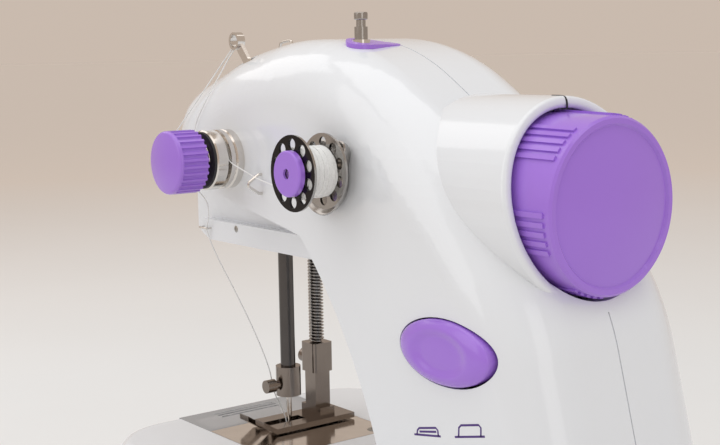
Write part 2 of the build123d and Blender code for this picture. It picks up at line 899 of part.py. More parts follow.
# Clamp on the lower end of the needle bar, with the screw boss to the front
def needle_clamp():
    top = needle_clamp_z + needle_clamp_height
    floor = needle_clamp_z + needle_clamp_floor
    clamp = rod_z(needle_clamp_z, top, needle_clamp_radius, needle_x, 0)
    clamp -= rod_z(floor, far, needle_bar_radius, needle_x, 0)
    screw_z = needle_clamp_z + needle_clamp_height * 0.4
    front = -needle_clamp_radius - clamp_screw_reach
    screw_end = -(needle_bar_radius + needle_clamp_radius) / 2
    clamp += rod_y(front, screw_end, clamp_screw_radius, needle_x, screw_z)
    clamp += rod_y(front, front + clamp_screw_depth, clamp_screw_head, needle_x, screw_z)
    return clamp - rod_z(0, floor, needle_shank_radius, needle_x, 0)


def needle():
    tip = bed_height - needle_drop
    top = needle_clamp_z + needle_clamp_floor
    shoulder = needle_clamp_z - needle_shank
    profile = [
        (0, top), (needle_shank_radius, top), (needle_shank_radius, shoulder),
        (needle_radius, shoulder - needle_shoulder), (needle_radius, tip + needle_point), (0, tip),
    ]
    face = make_face(Polyline(*[(radius, 0, z) for radius, z in profile], close=True))
    return Pos(needle_x, 0, 0) * revolve(face, Axis.Z)


# Presser bar with the lug that the lifter raises
def presser_bar():
    bar = rod_z(presser_clamp_z, bed_height + presser_bar_top_rise, presser_bar_radius, needle_x, presser_y)
    tip_drop = lifter_arm * math.sin(math.radians(lifter_angle))
    tip_x = lifter_x - lifter_arm * math.cos(math.radians(lifter_angle))
    low = lifter_z - tip_drop + lifter_tip_radius + free_gap
    left = needle_x - presser_bar_radius - lug_wall
    back = lifter_arm_y + lifter_arm_width
    front, high = presser_y - presser_bar_radius, low + lug_height
    lug = block(left, needle_x + presser_bar_radius, front, back, low, high)
    lug += block(left, tip_x, lifter_arm_y, back, low, high)
    return bar + lug


def presser_spring():
    length = bush_bottom - presser_clamp_top - spring_wire
    pitch = length / spring_turns
    wound = coil("presser spring", spring_radius, pitch, spring_turns, spring_wire)
    return Pos(needle_x, presser_y, presser_clamp_top + spring_wire / 2) * wound


def presser_clamp():
    half = presser_clamp_width / 2
    body = block(needle_x - half, needle_x + half, presser_y - half, presser_y + half,
                 presser_clamp_z, presser_clamp_top)
    body = fillet(body.edges().filter_by(Axis.Z), presser_clamp_round)
    screw_z = presser_clamp_z + presser_clamp_height * 0.4
    left = needle_x - half
    body += rod_x(left - presser_screw_reach, left, presser_screw_radius, presser_y, screw_z)
    return body - rod_z(0, far, presser_bar_radius, needle_x, presser_y)


# Foot with two upturned toes either side of the needle and a shank up to the clamp
def presser_foot():
    sole_z = bed_height + foot_rest_gap
    half = foot_width / 2
    front, back = -foot_front, presser_y + foot_back
    bend, toe_z = front + foot_toe, sole_z + foot_toe_rise
    side = Polyline(
        (front, toe_z), (bend, sole_z), (back, sole_z), (back, sole_z + foot_sole),
        (bend, sole_z + foot_sole), (front, toe_z + foot_sole), close=True,
    )
    sole = extrude(Plane.YZ * make_face(side), half, both=True)
    sole = Pos(needle_x, 0, 0) * sole
    slot = foot_slot / 2
    sole -= block(needle_x - slot, needle_x + slot, front - 1, presser_y - foot_slot_end, 0, far)
    reach = foot_shank / 2
    y0, y1 = presser_y - reach, presser_y + reach
    shank = block(needle_x - reach, needle_x + reach, y0, y1, sole_z, presser_clamp_z)
    rib_half = half - foot_rib_inset
    rib = block(needle_x - rib_half, needle_x + rib_half, y0, y1, sole_z, sole_z + foot_rib)
    return sole + shank + rib


# Lifter: shaft through the back shell, inner arm under the lug, handle outside
def presser_lifter():
    arm_back = lifter_arm_y + lifter_arm_width
    handle_front, handle_back = half_depth + free_gap, half_depth + free_gap + lifter_handle_depth
    half_grip = lifter_handle_width / 2
    shaft = rod_y(lifter_arm_y, handle_back, lifter_shaft_radius, lifter_x, lifter_z)
    lean = Pos(lifter_x, 0, lifter_z) * Rot(0, -lifter_angle, 0)
    arm = block(-lifter_arm, 0, lifter_arm_y, arm_back, -lifter_tip_radius, lifter_tip_radius)
    arm += rod_y(lifter_arm_y, arm_back, lifter_tip_radius, -lifter_arm, 0)
    arm += rod_y(lifter_arm_y, arm_back, lifter_shaft_radius + lug_wall, 0, 0)
    handle = rod_y(handle_front, handle_back, half_grip + lug_wall, 0, 0)
    handle += block(-half_grip, half_grip, handle_front, handle_back, -lifter_handle, 0)
    handle += rod_y(handle_front, handle_back, half_grip, 0, -lifter_handle)
    return shaft + lean * arm + Pos(lifter_x, 0, lifter_z) * handle


# Bent strip lever with a rolled eyelet
def take_up_lever():
    y0, y1 = lever_y - lever_thickness / 2, lever_y + lever_thickness / 2
    pivot = Vector(lever_pivot_x, lever_z)
    knee = pivot + Vector(*lever_knee)
    eye = pivot + Vector(*lever_eye)
    path = FilletPolyline((pivot.X, pivot.Y), (knee.X, knee.Y), (eye.X, eye.Y), radius=lever_bend)
    strip = trace(path, lever_width)
    flat = extrude(Plane.XZ * strip, lever_thickness)
    lever = Pos(0, y1, 0) * flat
    half_hub = lever_hub_width / 2
    lever += rod_y(lever_y - half_hub, lever_y + half_hub, lever_hub_radius, pivot.X, pivot.Y)
    lever += rod_y(y0 - eye_proud, y1 + eye_proud, eye_radius, eye.X, eye.Y)
    lever -= rod_y(-far, far, eye_hole, eye.X, eye.Y)
    return lever - rod_y(-far, far, tension_stud_radius + running_gap, pivot.X, pivot.Y)


# Tension pieces stand one before the other on the stud, from the panel forward
ring_front = panel_y - ring_depth
rear_disc_front = ring_front - rear_disc_depth
front_disc_front = rear_disc_front - front_disc_depth
washer_front = front_disc_front - washer_depth
knob_back = washer_front - knob_gap
knob_face = knob_back - knob_depth


def tension_stud():
    stud = rod_y(knob_back - knob_grip, inner_front_y, tension_stud_radius, tension_x, tension_z)
    return stud + rod_y(inner_front_y, inner_front_y + nut_depth, nut_radius, tension_x, tension_z)


def tension_ring():
    profile = [
        (tension_stud_radius, panel_y), (disc_radius, panel_y), (disc_radius, ring_front + ring_edge),
        (disc_radius - ring_edge, ring_front), (tension_stud_radius, ring_front),
    ]
    return turned_y(profile, tension_x, tension_z)


# Two discs that touch in the middle and flare apart at the rim, where the thread enters
def tension_disc_rear():
    profile = [
        (tension_stud_radius, ring_front), (disc_radius - disc_edge, ring_front),
        (disc_radius, ring_front - disc_edge), (disc_radius, rear_disc_front + disc_rim),
        (disc_contact, rear_disc_front), (tension_stud_radius, rear_disc_front),
    ]
    return turned_y(profile, tension_x, tension_z)


def tension_disc_front():
    profile = [
        (tension_stud_radius, rear_disc_front), (disc_contact, rear_disc_front),
        (disc_radius, rear_disc_front - disc_rim), (disc_radius, front_disc_front + disc_edge),
        (disc_radius - disc_edge, front_disc_front), (tension_stud_radius, front_disc_front),
    ]
    return turned_y(profile, tension_x, tension_z)


def tension_washer():
    washer = rod_y(washer_front, front_disc_front, disc_radius - washer_inset, tension_x, tension_z)
    return washer - rod_y(-far, far, tension_stud_radius, tension_x, tension_z)


def tension_spring():
    length = knob_gap - tension_spring_wire - tension_spring_gap
    pitch = length / tension_spring_turns
    wound = coil("tension spring", tension_spring_radius, pitch, tension_spring_turns, tension_spring_wire)
    return Pos(tension_x, washer_front - tension_spring_wire / 2, tension_z) * Rot(90, 0, 0) * wound


# Ribbed knob with a gently domed face
def tension_knob():
    sphere_radius = (knob_radius ** 2 + knob_dome ** 2) / (2 * knob_dome)
    knob = rod_y(knob_face, knob_back, knob_radius, tension_x, tension_z)
    knob &= Pos(tension_x, knob_face + sphere_radius, tension_z) * Sphere(sphere_radius)
    knob = fillet(knob.edges().filter_by(GeomType.CIRCLE).sort_by(Axis.Y)[0], knob_edge)
    for rib in range(knob_ribs):
        angle = math.radians(360 / knob_ribs * rib)
        x = tension_x + knob_radius * math.cos(angle)
        z = tension_z + knob_radius * math.sin(angle)
        knob -= rod_y(knob_face + knob_dome + knob_edge, knob_back + 1.0, knob_groove, x, z)
    bore_end = knob_back - knob_grip - free_gap
    return knob - rod_y(bore_end, far, tension_stud_radius + running_gap, tension_x, tension_z)


bobbin_back = panel_y - bobbin_stand_off
bobbin_front = bobbin_back - bobbin_width


def bobbin():
    inner_back, inner_front = bobbin_back - flange_thickness, bobbin_front + flange_thickness
    profile = [
        (bobbin_bore, bobbin_back), (bobbin_radius, bobbin_back), (bobbin_radius, inner_back),
        (bobbin_core_radius, inner_back), (bobbin_core_radius, inner_front), (bobbin_radius, inner_front),
        (bobbin_radius, bobbin_front), (bobbin_bore, bobbin_front),
    ]
    spool = turned_y(profile, bobbin_x, bobbin_z)
    for hole in range(flange_holes):
        angle = math.radians(flange_hole_phase + 360 / flange_holes * hole)
        x = bobbin_x + flange_hole_circle * math.cos(angle)
        z = bobbin_z + flange_hole_circle * math.sin(angle)
        spool -= rod_y(-far, 0, flange_hole_radius, x, z)
    return spool


winding_back = bobbin_back - flange_thickness
winding_front = bobbin_front + flange_thickness
winding_core = winding_radius - thread_diameter


def winding_body():
    core = rod_y(winding_front, winding_back, winding_core, bobbin_x, bobbin_z)
    return core - rod_y(-far, 0, bobbin_core_radius, bobbin_x, bobbin_z)


# Outer layer of thread, one helix from flange to flange
def bobbin_thread():
    wound_radius = winding_core + thread_diameter / 2 + thread_gap
    length = winding_back - winding_front - 2 * thread_diameter
    pitch = length / winding_turns
    wound = coil("bobbin thread", wound_radius, pitch, winding_turns, thread_diameter)
    return Pos(bobbin_x, winding_back - thread_diameter, bobbin_z) * Rot(90, 0, 0) * wound


def bobbin_cap():
    back = bobbin_front - cap_gap
    front = back - cap_depth
    cap = rod_y(front, back, cap_radius, bobbin_x, bobbin_z)
    cap = fillet(cap.faces().sort_by(Axis.Y)[0].edges(), cap_round)
    cap -= rod_y(front, back, cap_hole, bobbin_x, bobbin_z)
    return cap - rod_y(back - cap_grip, back, spindle_pin_radius + running_gap, bobbin_x, bobbin_z)


def bobbin_spindle():
    step = bobbin_front + spindle_step
    post = rod_y(step, inner_front_y, spindle_radius, bobbin_x, bobbin_z)
    pin = rod_y(bobbin_front - cap_grip, step, spindle_pin_radius, bobbin_x, bobbin_z)
    nut = rod_y(inner_front_y, inner_front_y + nut_depth, spindle_nut_radius, bobbin_x, bobbin_z)
    return post + pin + nut


# Oval drag spring behind the bobbin, dished and leaning to the right
def bobbin_drag_cup():
    def oval(y, share, inset):
        width = drag_cup_width / 2 * share - inset
        height = drag_cup_height / 2 * share - inset
        shape = Pos(bobbin_x, bobbin_z) * Rot(0, 0, -drag_cup_lean) * Ellipse(width, height)
        return Plane.XZ.offset(-y) * shape

    rim_front = bobbin_back + drag_cup_gap
    wall = drag_cup_wall
    cup = loft([oval(panel_y, drag_cup_foot, 0), oval(rim_front, 1, 0)])
    cup -= loft([oval(panel_y - wall, drag_cup_foot, wall), oval(rim_front, 1, wall)])
    return cup - rod_y(-far, 0, spindle_radius, bobbin_x, bobbin_z)


def bent_wire(points, radii, thickness):
    path = FilletPolyline(*points, radius=radii)
    section = Plane(origin=path @ 0, z_dir=path % 0) * Circle(thickness / 2)
    return sweep(section, path=path)


# Triangular wire loop beside the bobbin
def thread_guide_front():
    middle = bed_height + guide_rise
    half = guide_height / 2
    foot_y = panel_y - guide_foot
    points = [
        (guide_x, panel_y, middle + half), (guide_x, foot_y, middle + half),
        (guide_x, panel_y - guide_reach, middle), (guide_x, foot_y, middle - half),
        (guide_x, panel_y, middle - half),
    ]
    return bent_wire(points, guide_bends, guide_wire)


# Low wire loop on the crown that leads the spool's thread forward
def thread_guide_rear():
    left, right = rear_guide_x - rear_guide_length / 2, rear_guide_x + rear_guide_length / 2
    low, high = dome_top - rear_guide_root, dome_top + rear_guide_height
    points = [
        (left, rear_guide_y, low), (left, rear_guide_y, high),
        (right, rear_guide_y, high), (right, rear_guide_y, low),
    ]
    return bent_wire(points, rear_guide_bend, guide_wire) - rounded_arm()


def seat_sketch():
    lean = math.acos((seat_radius - seat_tip) / seat_tail)
    c, s = math.cos(lean), math.sin(lean)
    wedge = Polyline(
        (seat_radius * s, seat_radius * c), (seat_tip * s, seat_tail + seat_tip * c),
        (-seat_tip * s, seat_tail + seat_tip * c), (-seat_radius * s, seat_radius * c), close=True,
    )
    return Circle(seat_radius) + Pos(0, seat_tail) * Circle(seat_tip) + make_face(wedge)


# Teardrop seat moulded to the crown
def spool_rod_seat():
    pad = extrude(Pos(rod_x_place, rod_y_place, head_bottom) * seat_sketch(), far)
    skin = pad & rounded_arm(-seat_thickness)
    return skin - rounded_arm() - rod_z(0, far, rod_tube_radius, rod_x_place, rod_y_place)


rod_mouth = dome_top + seat_thickness - rod_dome_drop
rod_low = dome_top - rod_depth


def spool_rod_tube():
    tube = rod_z(rod_low, rod_mouth, rod_tube_radius, rod_x_place, rod_y_place)
    bore = rod_mid_radius + running_gap
    return tube - rod_z(rod_low + rod_floor, far, bore, rod_x_place, rod_y_place)


def spool_rod_mid():
    low = rod_low + rod_floor + rod_play
    tube = rod_z(low, rod_mouth + rod_mid_above, rod_mid_radius, rod_x_place, rod_y_place)
    bore = rod_inner_radius + running_gap
    return tube - rod_z(low + rod_floor, far, bore, rod_x_place, rod_y_place)


def spool_rod_tip():
    low = rod_low + 2 * (rod_floor + rod_play)
    cap_low = rod_mouth + rod_mid_above + rod_neck
    cap_top = cap_low + rod_cap_height
    stem = rod_z(low, cap_top, rod_inner_radius, rod_x_place, rod_y_place)
    cap = rod_z(cap_low, cap_top, rod_cap_radius, rod_x_place, rod_y_place)
    return stem + fillet(cap.edges().filter_by(GeomType.CIRCLE), rod_cap_round)


# Oval button: pillowed front, lip behind the panel, stem in the switch
def power_button():
    front = panel_y - button_proud
    lip_front = inner_front_y + button_gap
    lip_back = lip_front + button_lip_depth
    button = button_block(front, lip_back)
    button = fillet(button.faces().sort_by(Axis.Y)[0].edges(), button_round)
    lip = button_block(lip_front, lip_back, button_lip)
    return button + (lip & rounded_arm(shell_wall + button_gap))


def switch_block():
    margin = button_lip + button_gap
    room_back = inner_front_y + button_lip_depth + button_travel + 2 * button_gap
    box = button_block(inner_front_y, inner_front_y + switch_depth, margin + switch_wall)
    return (box & rounded_arm(shell_wall)) - button_block(inner_front_y, room_back, margin)


def jack(x, bore):
    z = bed_height + jack_rise
    wall_back = base_depth / 2
    wall_front = wall_back - base_wall
    body = rod_y(wall_back - jack_depth, wall_back, jack_radius, x, z)
    body += rod_y(wall_front - jack_flange, wall_front, jack_radius + jack_flange, x, z)
    return body - rod_y(wall_back - jack_depth + jack_floor, far, bore, x, z)


def all_parts():
    shell = housing()
    front_half = block(-far, far, -far, 0, -far, far)
    back_half = block(-far, far, 0, far, -far, far)
    parts = {
        "front_shell": shell & front_half,
        "rear_shell": shell & back_half,
        "head_cover": head_cover(),
        "base_shell": base_shell(),
        "bottom_cover": bottom_cover(),
        "battery_cover": battery_cover(),
        "needle_plate": needle_plate(),
        "slide_cover": slide_cover(),
        "feed_dog": feed_dog(),
        "lower_shaft": lower_shaft(),
        "hook": hook(),
        "hand_wheel": hand_wheel(),
        "main_shaft": main_shaft(),
        "shaft_pulleys": shaft_pulleys(),
        "needle_crank": needle_crank(),
        "mech_frame": mech_frame(),
        "timing_belt": timing_belt(),
        "drive_belt": drive_belt(),
        "motor": motor(),
        "motor_pulley": motor_pulley(),
        "needle_bar_bush": bar_bush(needle_bar_radius, needle_bush_height, 0),
        "presser_bar_bush": bar_bush(presser_bar_radius, presser_bush_height, presser_y),
        "needle_bar": needle_bar(),
        "needle_yoke": needle_yoke(),
        "needle_clamp": needle_clamp(),
        "needle": needle(),
        "presser_bar": presser_bar(),
        "presser_spring": presser_spring(),
        "presser_clamp": presser_clamp(),
        "presser_foot": presser_foot(),
        "presser_lifter": presser_lifter(),
        "take_up_lever": take_up_lever(),
        "tension_stud": tension_stud(),
        "tension_ring": tension_ring(),
        "tension_disc_rear": tension_disc_rear(),
        "tension_disc_front": tension_disc_front(),
        "tension_washer": tension_washer(),
        "tension_spring": tension_spring(),
        "tension_knob": tension_knob(),
        "bobbin": bobbin(),
        "winding_body": winding_body(),
        "bobbin_thread": bobbin_thread(),
        "bobbin_cap": bobbin_cap(),
        "bobbin_spindle": bobbin_spindle(),
        "bobbin_drag_cup": bobbin_drag_cup(),
        "thread_guide_front": thread_guide_front(),
        "thread_guide_rear": thread_guide_rear(),
        "spool_rod_seat": spool_rod_seat(),
        "spool_rod_tube": spool_rod_tube(),
        "spool_rod_mid": spool_rod_mid(),
        "spool_rod_tip": spool_rod_tip(),
        "power_button": power_button(),
        "switch_block": switch_block(),
        "dc_jack": jack(dc_jack_x, dc_jack_bore),
        "pedal_jack": jack(pedal_jack_x, pedal_jack_bore),
    }
    number = 0
    for x in (left_end + foot_inset, right_end - foot_inset):
        for y in (-base_depth / 2 + foot_inset, base_depth / 2 - foot_inset):
            number += 1
            parts[f"rubber_foot_{number}"] = foot(x, y)
    return parts


if __name__ == "__main__":
    os.makedirs("parts", exist_ok=True)
    for name, solid in all_parts().items():
        export_step(solid, f"parts/{name}.step")
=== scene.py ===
import bmesh
import bpy
import json
import math
from mathutils import Matrix, Vector


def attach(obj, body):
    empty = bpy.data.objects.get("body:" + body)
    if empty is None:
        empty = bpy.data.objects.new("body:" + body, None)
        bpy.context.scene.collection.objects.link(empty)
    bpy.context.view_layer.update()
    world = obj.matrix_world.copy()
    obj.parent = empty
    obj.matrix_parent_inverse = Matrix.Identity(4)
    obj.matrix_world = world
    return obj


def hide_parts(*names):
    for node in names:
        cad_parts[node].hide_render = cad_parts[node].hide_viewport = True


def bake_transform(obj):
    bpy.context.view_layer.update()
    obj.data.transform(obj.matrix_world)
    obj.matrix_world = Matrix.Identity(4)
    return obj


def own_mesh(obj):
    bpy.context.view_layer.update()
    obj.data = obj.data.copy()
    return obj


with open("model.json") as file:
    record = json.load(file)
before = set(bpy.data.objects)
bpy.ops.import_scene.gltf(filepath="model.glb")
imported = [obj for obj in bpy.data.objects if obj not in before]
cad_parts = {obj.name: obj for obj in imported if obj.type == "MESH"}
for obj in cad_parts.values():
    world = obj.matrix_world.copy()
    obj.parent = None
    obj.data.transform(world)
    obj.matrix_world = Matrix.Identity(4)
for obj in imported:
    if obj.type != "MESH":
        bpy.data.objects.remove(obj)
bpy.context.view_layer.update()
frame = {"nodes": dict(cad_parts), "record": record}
scene = bpy.context.scene
mm = 0.001
bodies = frame["record"]["behaviour"]["bodies"]
bodyOfNode = {node: body for body, members in bodies.items() for node in members}
slotOfNode = {part["node"]: part["material_slot"] for part in frame["record"]["subparts"]}
print("frame loaded,", len(frame["nodes"]), "nodes")


def addObject(name, data):
    thing = bpy.data.objects.new(name, data)
    scene.collection.objects.link(thing)
    return thing


# camera at the photograph's angle
view = {"place": (0.2946, -0.2401, 0.1717), "azimuth": 52.7, "elevation": 7.5, "roll": 0.017,
        "lens": 65.0, "sensor": 36.0, "near": 0.01}


def makeCamera():
    az, el = math.radians(view["azimuth"]), math.radians(view["elevation"])
    back = Vector((math.sin(az) * math.cos(el), -math.cos(az) * math.cos(el), math.sin(el)))
    right = Vector((math.cos(az), math.sin(az), 0.0))
    up = back.cross(right)
    c, s = math.cos(view["roll"]), math.sin(view["roll"])
    side, top = right * c - up * s, right * s + up * c
    turn = Matrix((side, top, back)).transposed().to_4x4()
    data = bpy.data.cameras.new("camera")
    data.lens = view["lens"]
    data.sensor_width = view["sensor"]
    data.sensor_fit = "HORIZONTAL"
    data.clip_start = view["near"]
    eye = addObject("camera", data)
    eye.matrix_world = Matrix.Translation(view["place"]) @ turn
    scene.camera = eye


makeCamera()
print("camera placed")

# finishes: scales of the noise per metre, shares by which it shifts colour and gloss, bump depth in metres
noiseLook = {"detail": 3.0, "ends": (0.15, 0.85)}
plasticLook = {"tintScale": 30.0, "glossScale": 60.0, "gloss": (0.95, 1.06), "grainDetail": 2.0,
               "depth": 0.00005, "ior": 1.5, "coatRough": 0.06}
metalLook = {"tintScale": 180.0, "tint": (0.95, 1.04), "streakScale": 400.0, "gloss": (0.8, 1.3),
             "depth": 0.00003}
threadLook = {"colour": (0.84, 0.83, 0.81), "fibreScale": 2600.0, "detail": 4.0, "tint": (0.88, 1.06),
              "bump": 0.5, "depth": 0.0001, "rough": 0.75, "sheen": 0.35}


def startMaterial(name):
    material = bpy.data.materials.new(name)
    material.use_nodes = True
    nodes, links = material.node_tree.nodes, material.node_tree.links
    shader = nodes["Principled BSDF"]
    coords = nodes.new("ShaderNodeTexCoord")
    return material, nodes, links, shader, coords.outputs["Object"]


def noiseRamp(nodes, links, coords, scale, low, high, detail=noiseLook["detail"], stretch=None):
    source = coords
    if stretch:
        mapping = nodes.new("ShaderNodeMapping")
        mapping.inputs["Scale"].default_value = stretch
        links.new(coords, mapping.inputs["Vector"])
        source = mapping.outputs["Vector"]
    noise = nodes.new("ShaderNodeTexNoise")
    noise.inputs["Scale"].default_value = scale
    noise.inputs["Detail"].default_value = detail
    links.new(source, noise.inputs["Vector"])
    ramp = nodes.new("ShaderNodeValToRGB")
    ramp.color_ramp.interpolation = "EASE"
    for stop, place, colour in zip(ramp.color_ramp.elements, noiseLook["ends"], (low, high)):
        stop.position, stop.color = place, colour
    links.new(noise.outputs["Fac"], ramp.inputs["Fac"])
    return ramp.outputs["Color"], noise.outputs["Fac"]


def bumpFrom(nodes, links, shader, height, strength, distance):
    bump = nodes.new("ShaderNodeBump")
    bump.inputs["Strength"].default_value = strength
    bump.inputs["Distance"].default_value = distance
    links.new(height, bump.inputs["Height"])
    links.new(bump.outputs["Normal"], shader.inputs["Normal"])


def greys(value, shares):
    return [(value * share,) * 3 + (1.0,) for share in shares]


def shades(colour, shares):
    return [tuple(min(1.0, c * share) for c in colour) + (1.0,) for share in shares]


def plasticFinish(name, spec):
    material, nodes, links, shader, coords = startMaterial(name)
    low, high = shades(spec["colour"], (1 - spec["spread"], 1 + spec["spread"]))
    tint = noiseRamp(nodes, links, coords, plasticLook["tintScale"], low, high)[0]
    links.new(tint, shader.inputs["Base Color"])
    low, high = greys(spec["rough"], plasticLook["gloss"])
    gloss = noiseRamp(nodes, links, coords, plasticLook["glossScale"], low, high)[0]
    links.new(gloss, shader.inputs["Roughness"])
    grain = nodes.new("ShaderNodeTexNoise")
    grain.inputs["Scale"].default_value = spec["grain"]
    grain.inputs["Detail"].default_value = plasticLook["grainDetail"]
    links.new(coords, grain.inputs["Vector"])
    bumpFrom(nodes, links, shader, grain.outputs["Fac"], spec["bump"], plasticLook["depth"])
    shader.inputs["IOR"].default_value = plasticLook["ior"]
    shader.inputs["Coat Weight"].default_value = spec.get("coat", 0.0)
    shader.inputs["Coat Roughness"].default_value = plasticLook["coatRough"]
    shader.inputs["Transmission Weight"].default_value = spec.get("clear", 0.0)
    return material


def metalFinish(name, spec):
    material, nodes, links, shader, coords = startMaterial(name)
    low, high = shades(spec["colour"], metalLook["tint"])
    tint = noiseRamp(nodes, links, coords, metalLook["tintScale"], low, high)[0]
    links.new(tint, shader.inputs["Base Color"])
    low, high = greys(spec["rough"], metalLook["gloss"])
    gloss, streak = noiseRamp(nodes, links, coords, metalLook["streakScale"], low, high,
                              stretch=spec.get("stretch", (1.0, 1.0, 1.0)))
    links.new(gloss, shader.inputs["Roughness"])
    bumpFrom(nodes, links, shader, streak, spec["bump"], metalLook["depth"])
    shader.inputs["Metallic"].default_value = 1.0
    return material


def threadFinish(name, spec):
    material, nodes, links, shader, coords = startMaterial(name)
    low, high = shades(spec["colour"], spec["tint"])
    tint, fibre = noiseRamp(nodes, links, coords, spec["fibreScale"], low, high, detail=spec["detail"])
    links.new(tint, shader.inputs["Base Color"])
    bumpFrom(nodes, links, shader, fibre, spec["bump"], spec["depth"])
    shader.inputs["Roughness"].default_value = spec["rough"]
    shader.inputs["Sheen Weight"].default_value = spec["sheen"]
    return material


# a finish with a slot is the record's, the others are for single pieces
plastics = {
    "whiteHousing": {"slot": "white_plastic", "colour": (0.80, 0.81, 0.83), "spread": 0.008, "rough": 0.16,
                     "grain": 700.0, "bump": 0.03, "coat": 0.5},
    "purpleControls": {"slot": "purple_plastic", "colour": (0.37, 0.175, 0.71), "spread": 0.025,
                       "rough": 0.24, "grain": 1200.0, "bump": 0.04, "coat": 0.3},
    "smokedCover": {"slot": "clear_plastic", "colour": (0.80, 0.81, 0.83), "spread": 0.02, "rough": 0.14,
                    "grain": 800.0, "bump": 0.04, "clear": 0.6},
    "darkFittings": {"slot": "dark_plastic", "colour": (0.018, 0.018, 0.02), "spread": 0.2, "rough": 0.45,
                     "grain": 2500.0, "bump": 0.12},
    "creamPulleys": {"slot": "pulley_plastic", "colour": (0.74, 0.73, 0.70), "spread": 0.03, "rough": 0.4,
                     "grain": 2000.0, "bump": 0.1},
    "blackBelts": {"slot": "belt_rubber", "colour": (0.02, 0.02, 0.021), "spread": 0.25, "rough": 0.7,
                   "grain": 3000.0, "bump": 0.3},
    "rubberFeet": {"slot": "foot_rubber", "colour": (0.03, 0.03, 0.032), "spread": 0.25, "rough": 0.75,
                   "grain": 2500.0, "bump": 0.3},
    "iconInk": {"colour": (0.075, 0.028, 0.20), "spread": 0.1, "rough": 0.4, "grain": 3000.0, "bump": 0.1},
    "lampLens": {"colour": (0.86, 0.85, 0.80), "spread": 0.02, "rough": 0.2, "grain": 900.0, "bump": 0.05},
}
metals = {
    "nickelPlate": {"slot": "plated_steel", "colour": (0.70, 0.67, 0.635), "rough": 0.13, "bump": 0.02},
    "blackChrome": {"slot": "black_chrome", "colour": (0.030, 0.028, 0.030), "rough": 0.16, "bump": 0.02},
    "groundSteel": {"slot": "shaft_steel", "colour": (0.56, 0.56, 0.57), "rough": 0.3, "bump": 0.08,
                    "stretch": (0.2, 1.0, 1.0)},
    "castFrame": {"slot": "frame_metal", "colour": (0.60, 0.61, 0.62), "rough": 0.45, "bump": 0.25},
    "turnedBrass": {"slot": "bush_brass", "colour": (0.72, 0.53, 0.25), "rough": 0.24, "bump": 0.05},
    "darkBars": {"colour": (0.10, 0.092, 0.088), "rough": 0.18, "bump": 0.03, "stretch": (1.0, 1.0, 0.1)},
    "smokyNickel": {"colour": (0.40, 0.385, 0.37), "rough": 0.2, "bump": 0.03},
    # a darker nickel, used on the needle clamp, presser clamp and presser foot
    "agedNickel": {"colour": (0.24, 0.205, 0.18), "rough": 0.18, "bump": 0.03},
    "zincScrews": {"colour": (0.40, 0.39, 0.37), "rough": 0.32, "bump": 0.1},
}
finishes = {"thread": threadFinish("spunThread", threadLook)}
finishes.update({spec.get("slot", name): plasticFinish(name, spec) for name, spec in plastics.items()})
finishes.update({spec.get("slot", name): metalFinish(name, spec) for name, spec in metals.items()})
print("finishes made,", len(finishes))

# smooth copies of the solids, apart from those that get a piece of their own further down
dress = {
    "crease": 30.0, "weld": 2e-6, "sliver": 1e-7,
    "finish": {"needle_bar": "darkBars", "presser_bar": "darkBars", "needle_clamp": "agedNickel",
               "presser_clamp": "agedNickel", "presser_foot": "agedNickel", "spool_rod_mid": "smokyNickel",
               "spool_rod_tip": "smokyNickel"},
    "madeHere": ("power_button", "presser_spring", "bobbin_thread", "head_cover", "bobbin_drag_cup",
                 "thread_guide_rear"),
}


def smoothFaces(mesh, crease):
    for face in mesh.polygons:
        face.use_smooth = True
    mesh.set_sharp_from_angle(angle=math.radians(crease))


def cleanCopy(node):
    mesh = frame["nodes"][node].data.copy()
    mesh.name = node
    work = bmesh.new()
    work.from_mesh(mesh)
    bmesh.ops.remove_doubles(work, verts=work.verts, dist=dress["weld"])
    bmesh.ops.dissolve_degenerate(work, edges=work.edges, dist=dress["sliver"])
    work.to_mesh(mesh)
    work.free()
    if "custom_normal" in mesh.attributes:
        mesh.attributes.remove(mesh.attributes["custom_normal"])
    smoothFaces(mesh, dress["crease"])
    mesh.materials.clear()
    return mesh


def pieceName(node):
    words = node.split("_")
    return words[0] + "".join(w.capitalize() for w in words[1:])


def seat(piece, body, slot, *nodes):
    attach(piece, body)
    if nodes:
        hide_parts(*nodes)
    return piece


def dressNode(node):
    mesh = cleanCopy(node)
    mesh.materials.append(finishes[dress["finish"].get(node, slotOfNode[node])])
    piece = addObject(pieceName(node), mesh)
    even = piece.modifiers.new("evenNormals", "WEIGHTED_NORMAL")
    even.keep_sharp = True
    return seat(piece, bodyOfNode[node], slotOfNode[node], node)


dressed = {node: dressNode(node) for node in frame["nodes"] if node not in dress["madeHere"]}
print("solids dressed,", len(dressed))

# brow of the head: both shells rise a little more steeply than the solids, sizes in mm
brow = {"rise": 4.8, "reach": 2.6, "across": (-32.0, -74.0), "end": (-60.0, -80.0), "foot": (126.0, 150.0),
        "left": -86.0, "columns": 24, "rows": 8}


def smoothStep(low, high, value):
    t = min(1.0, max(0.0, (value - low) / (high - low)))
    return t * t * (3 - 2 * t)


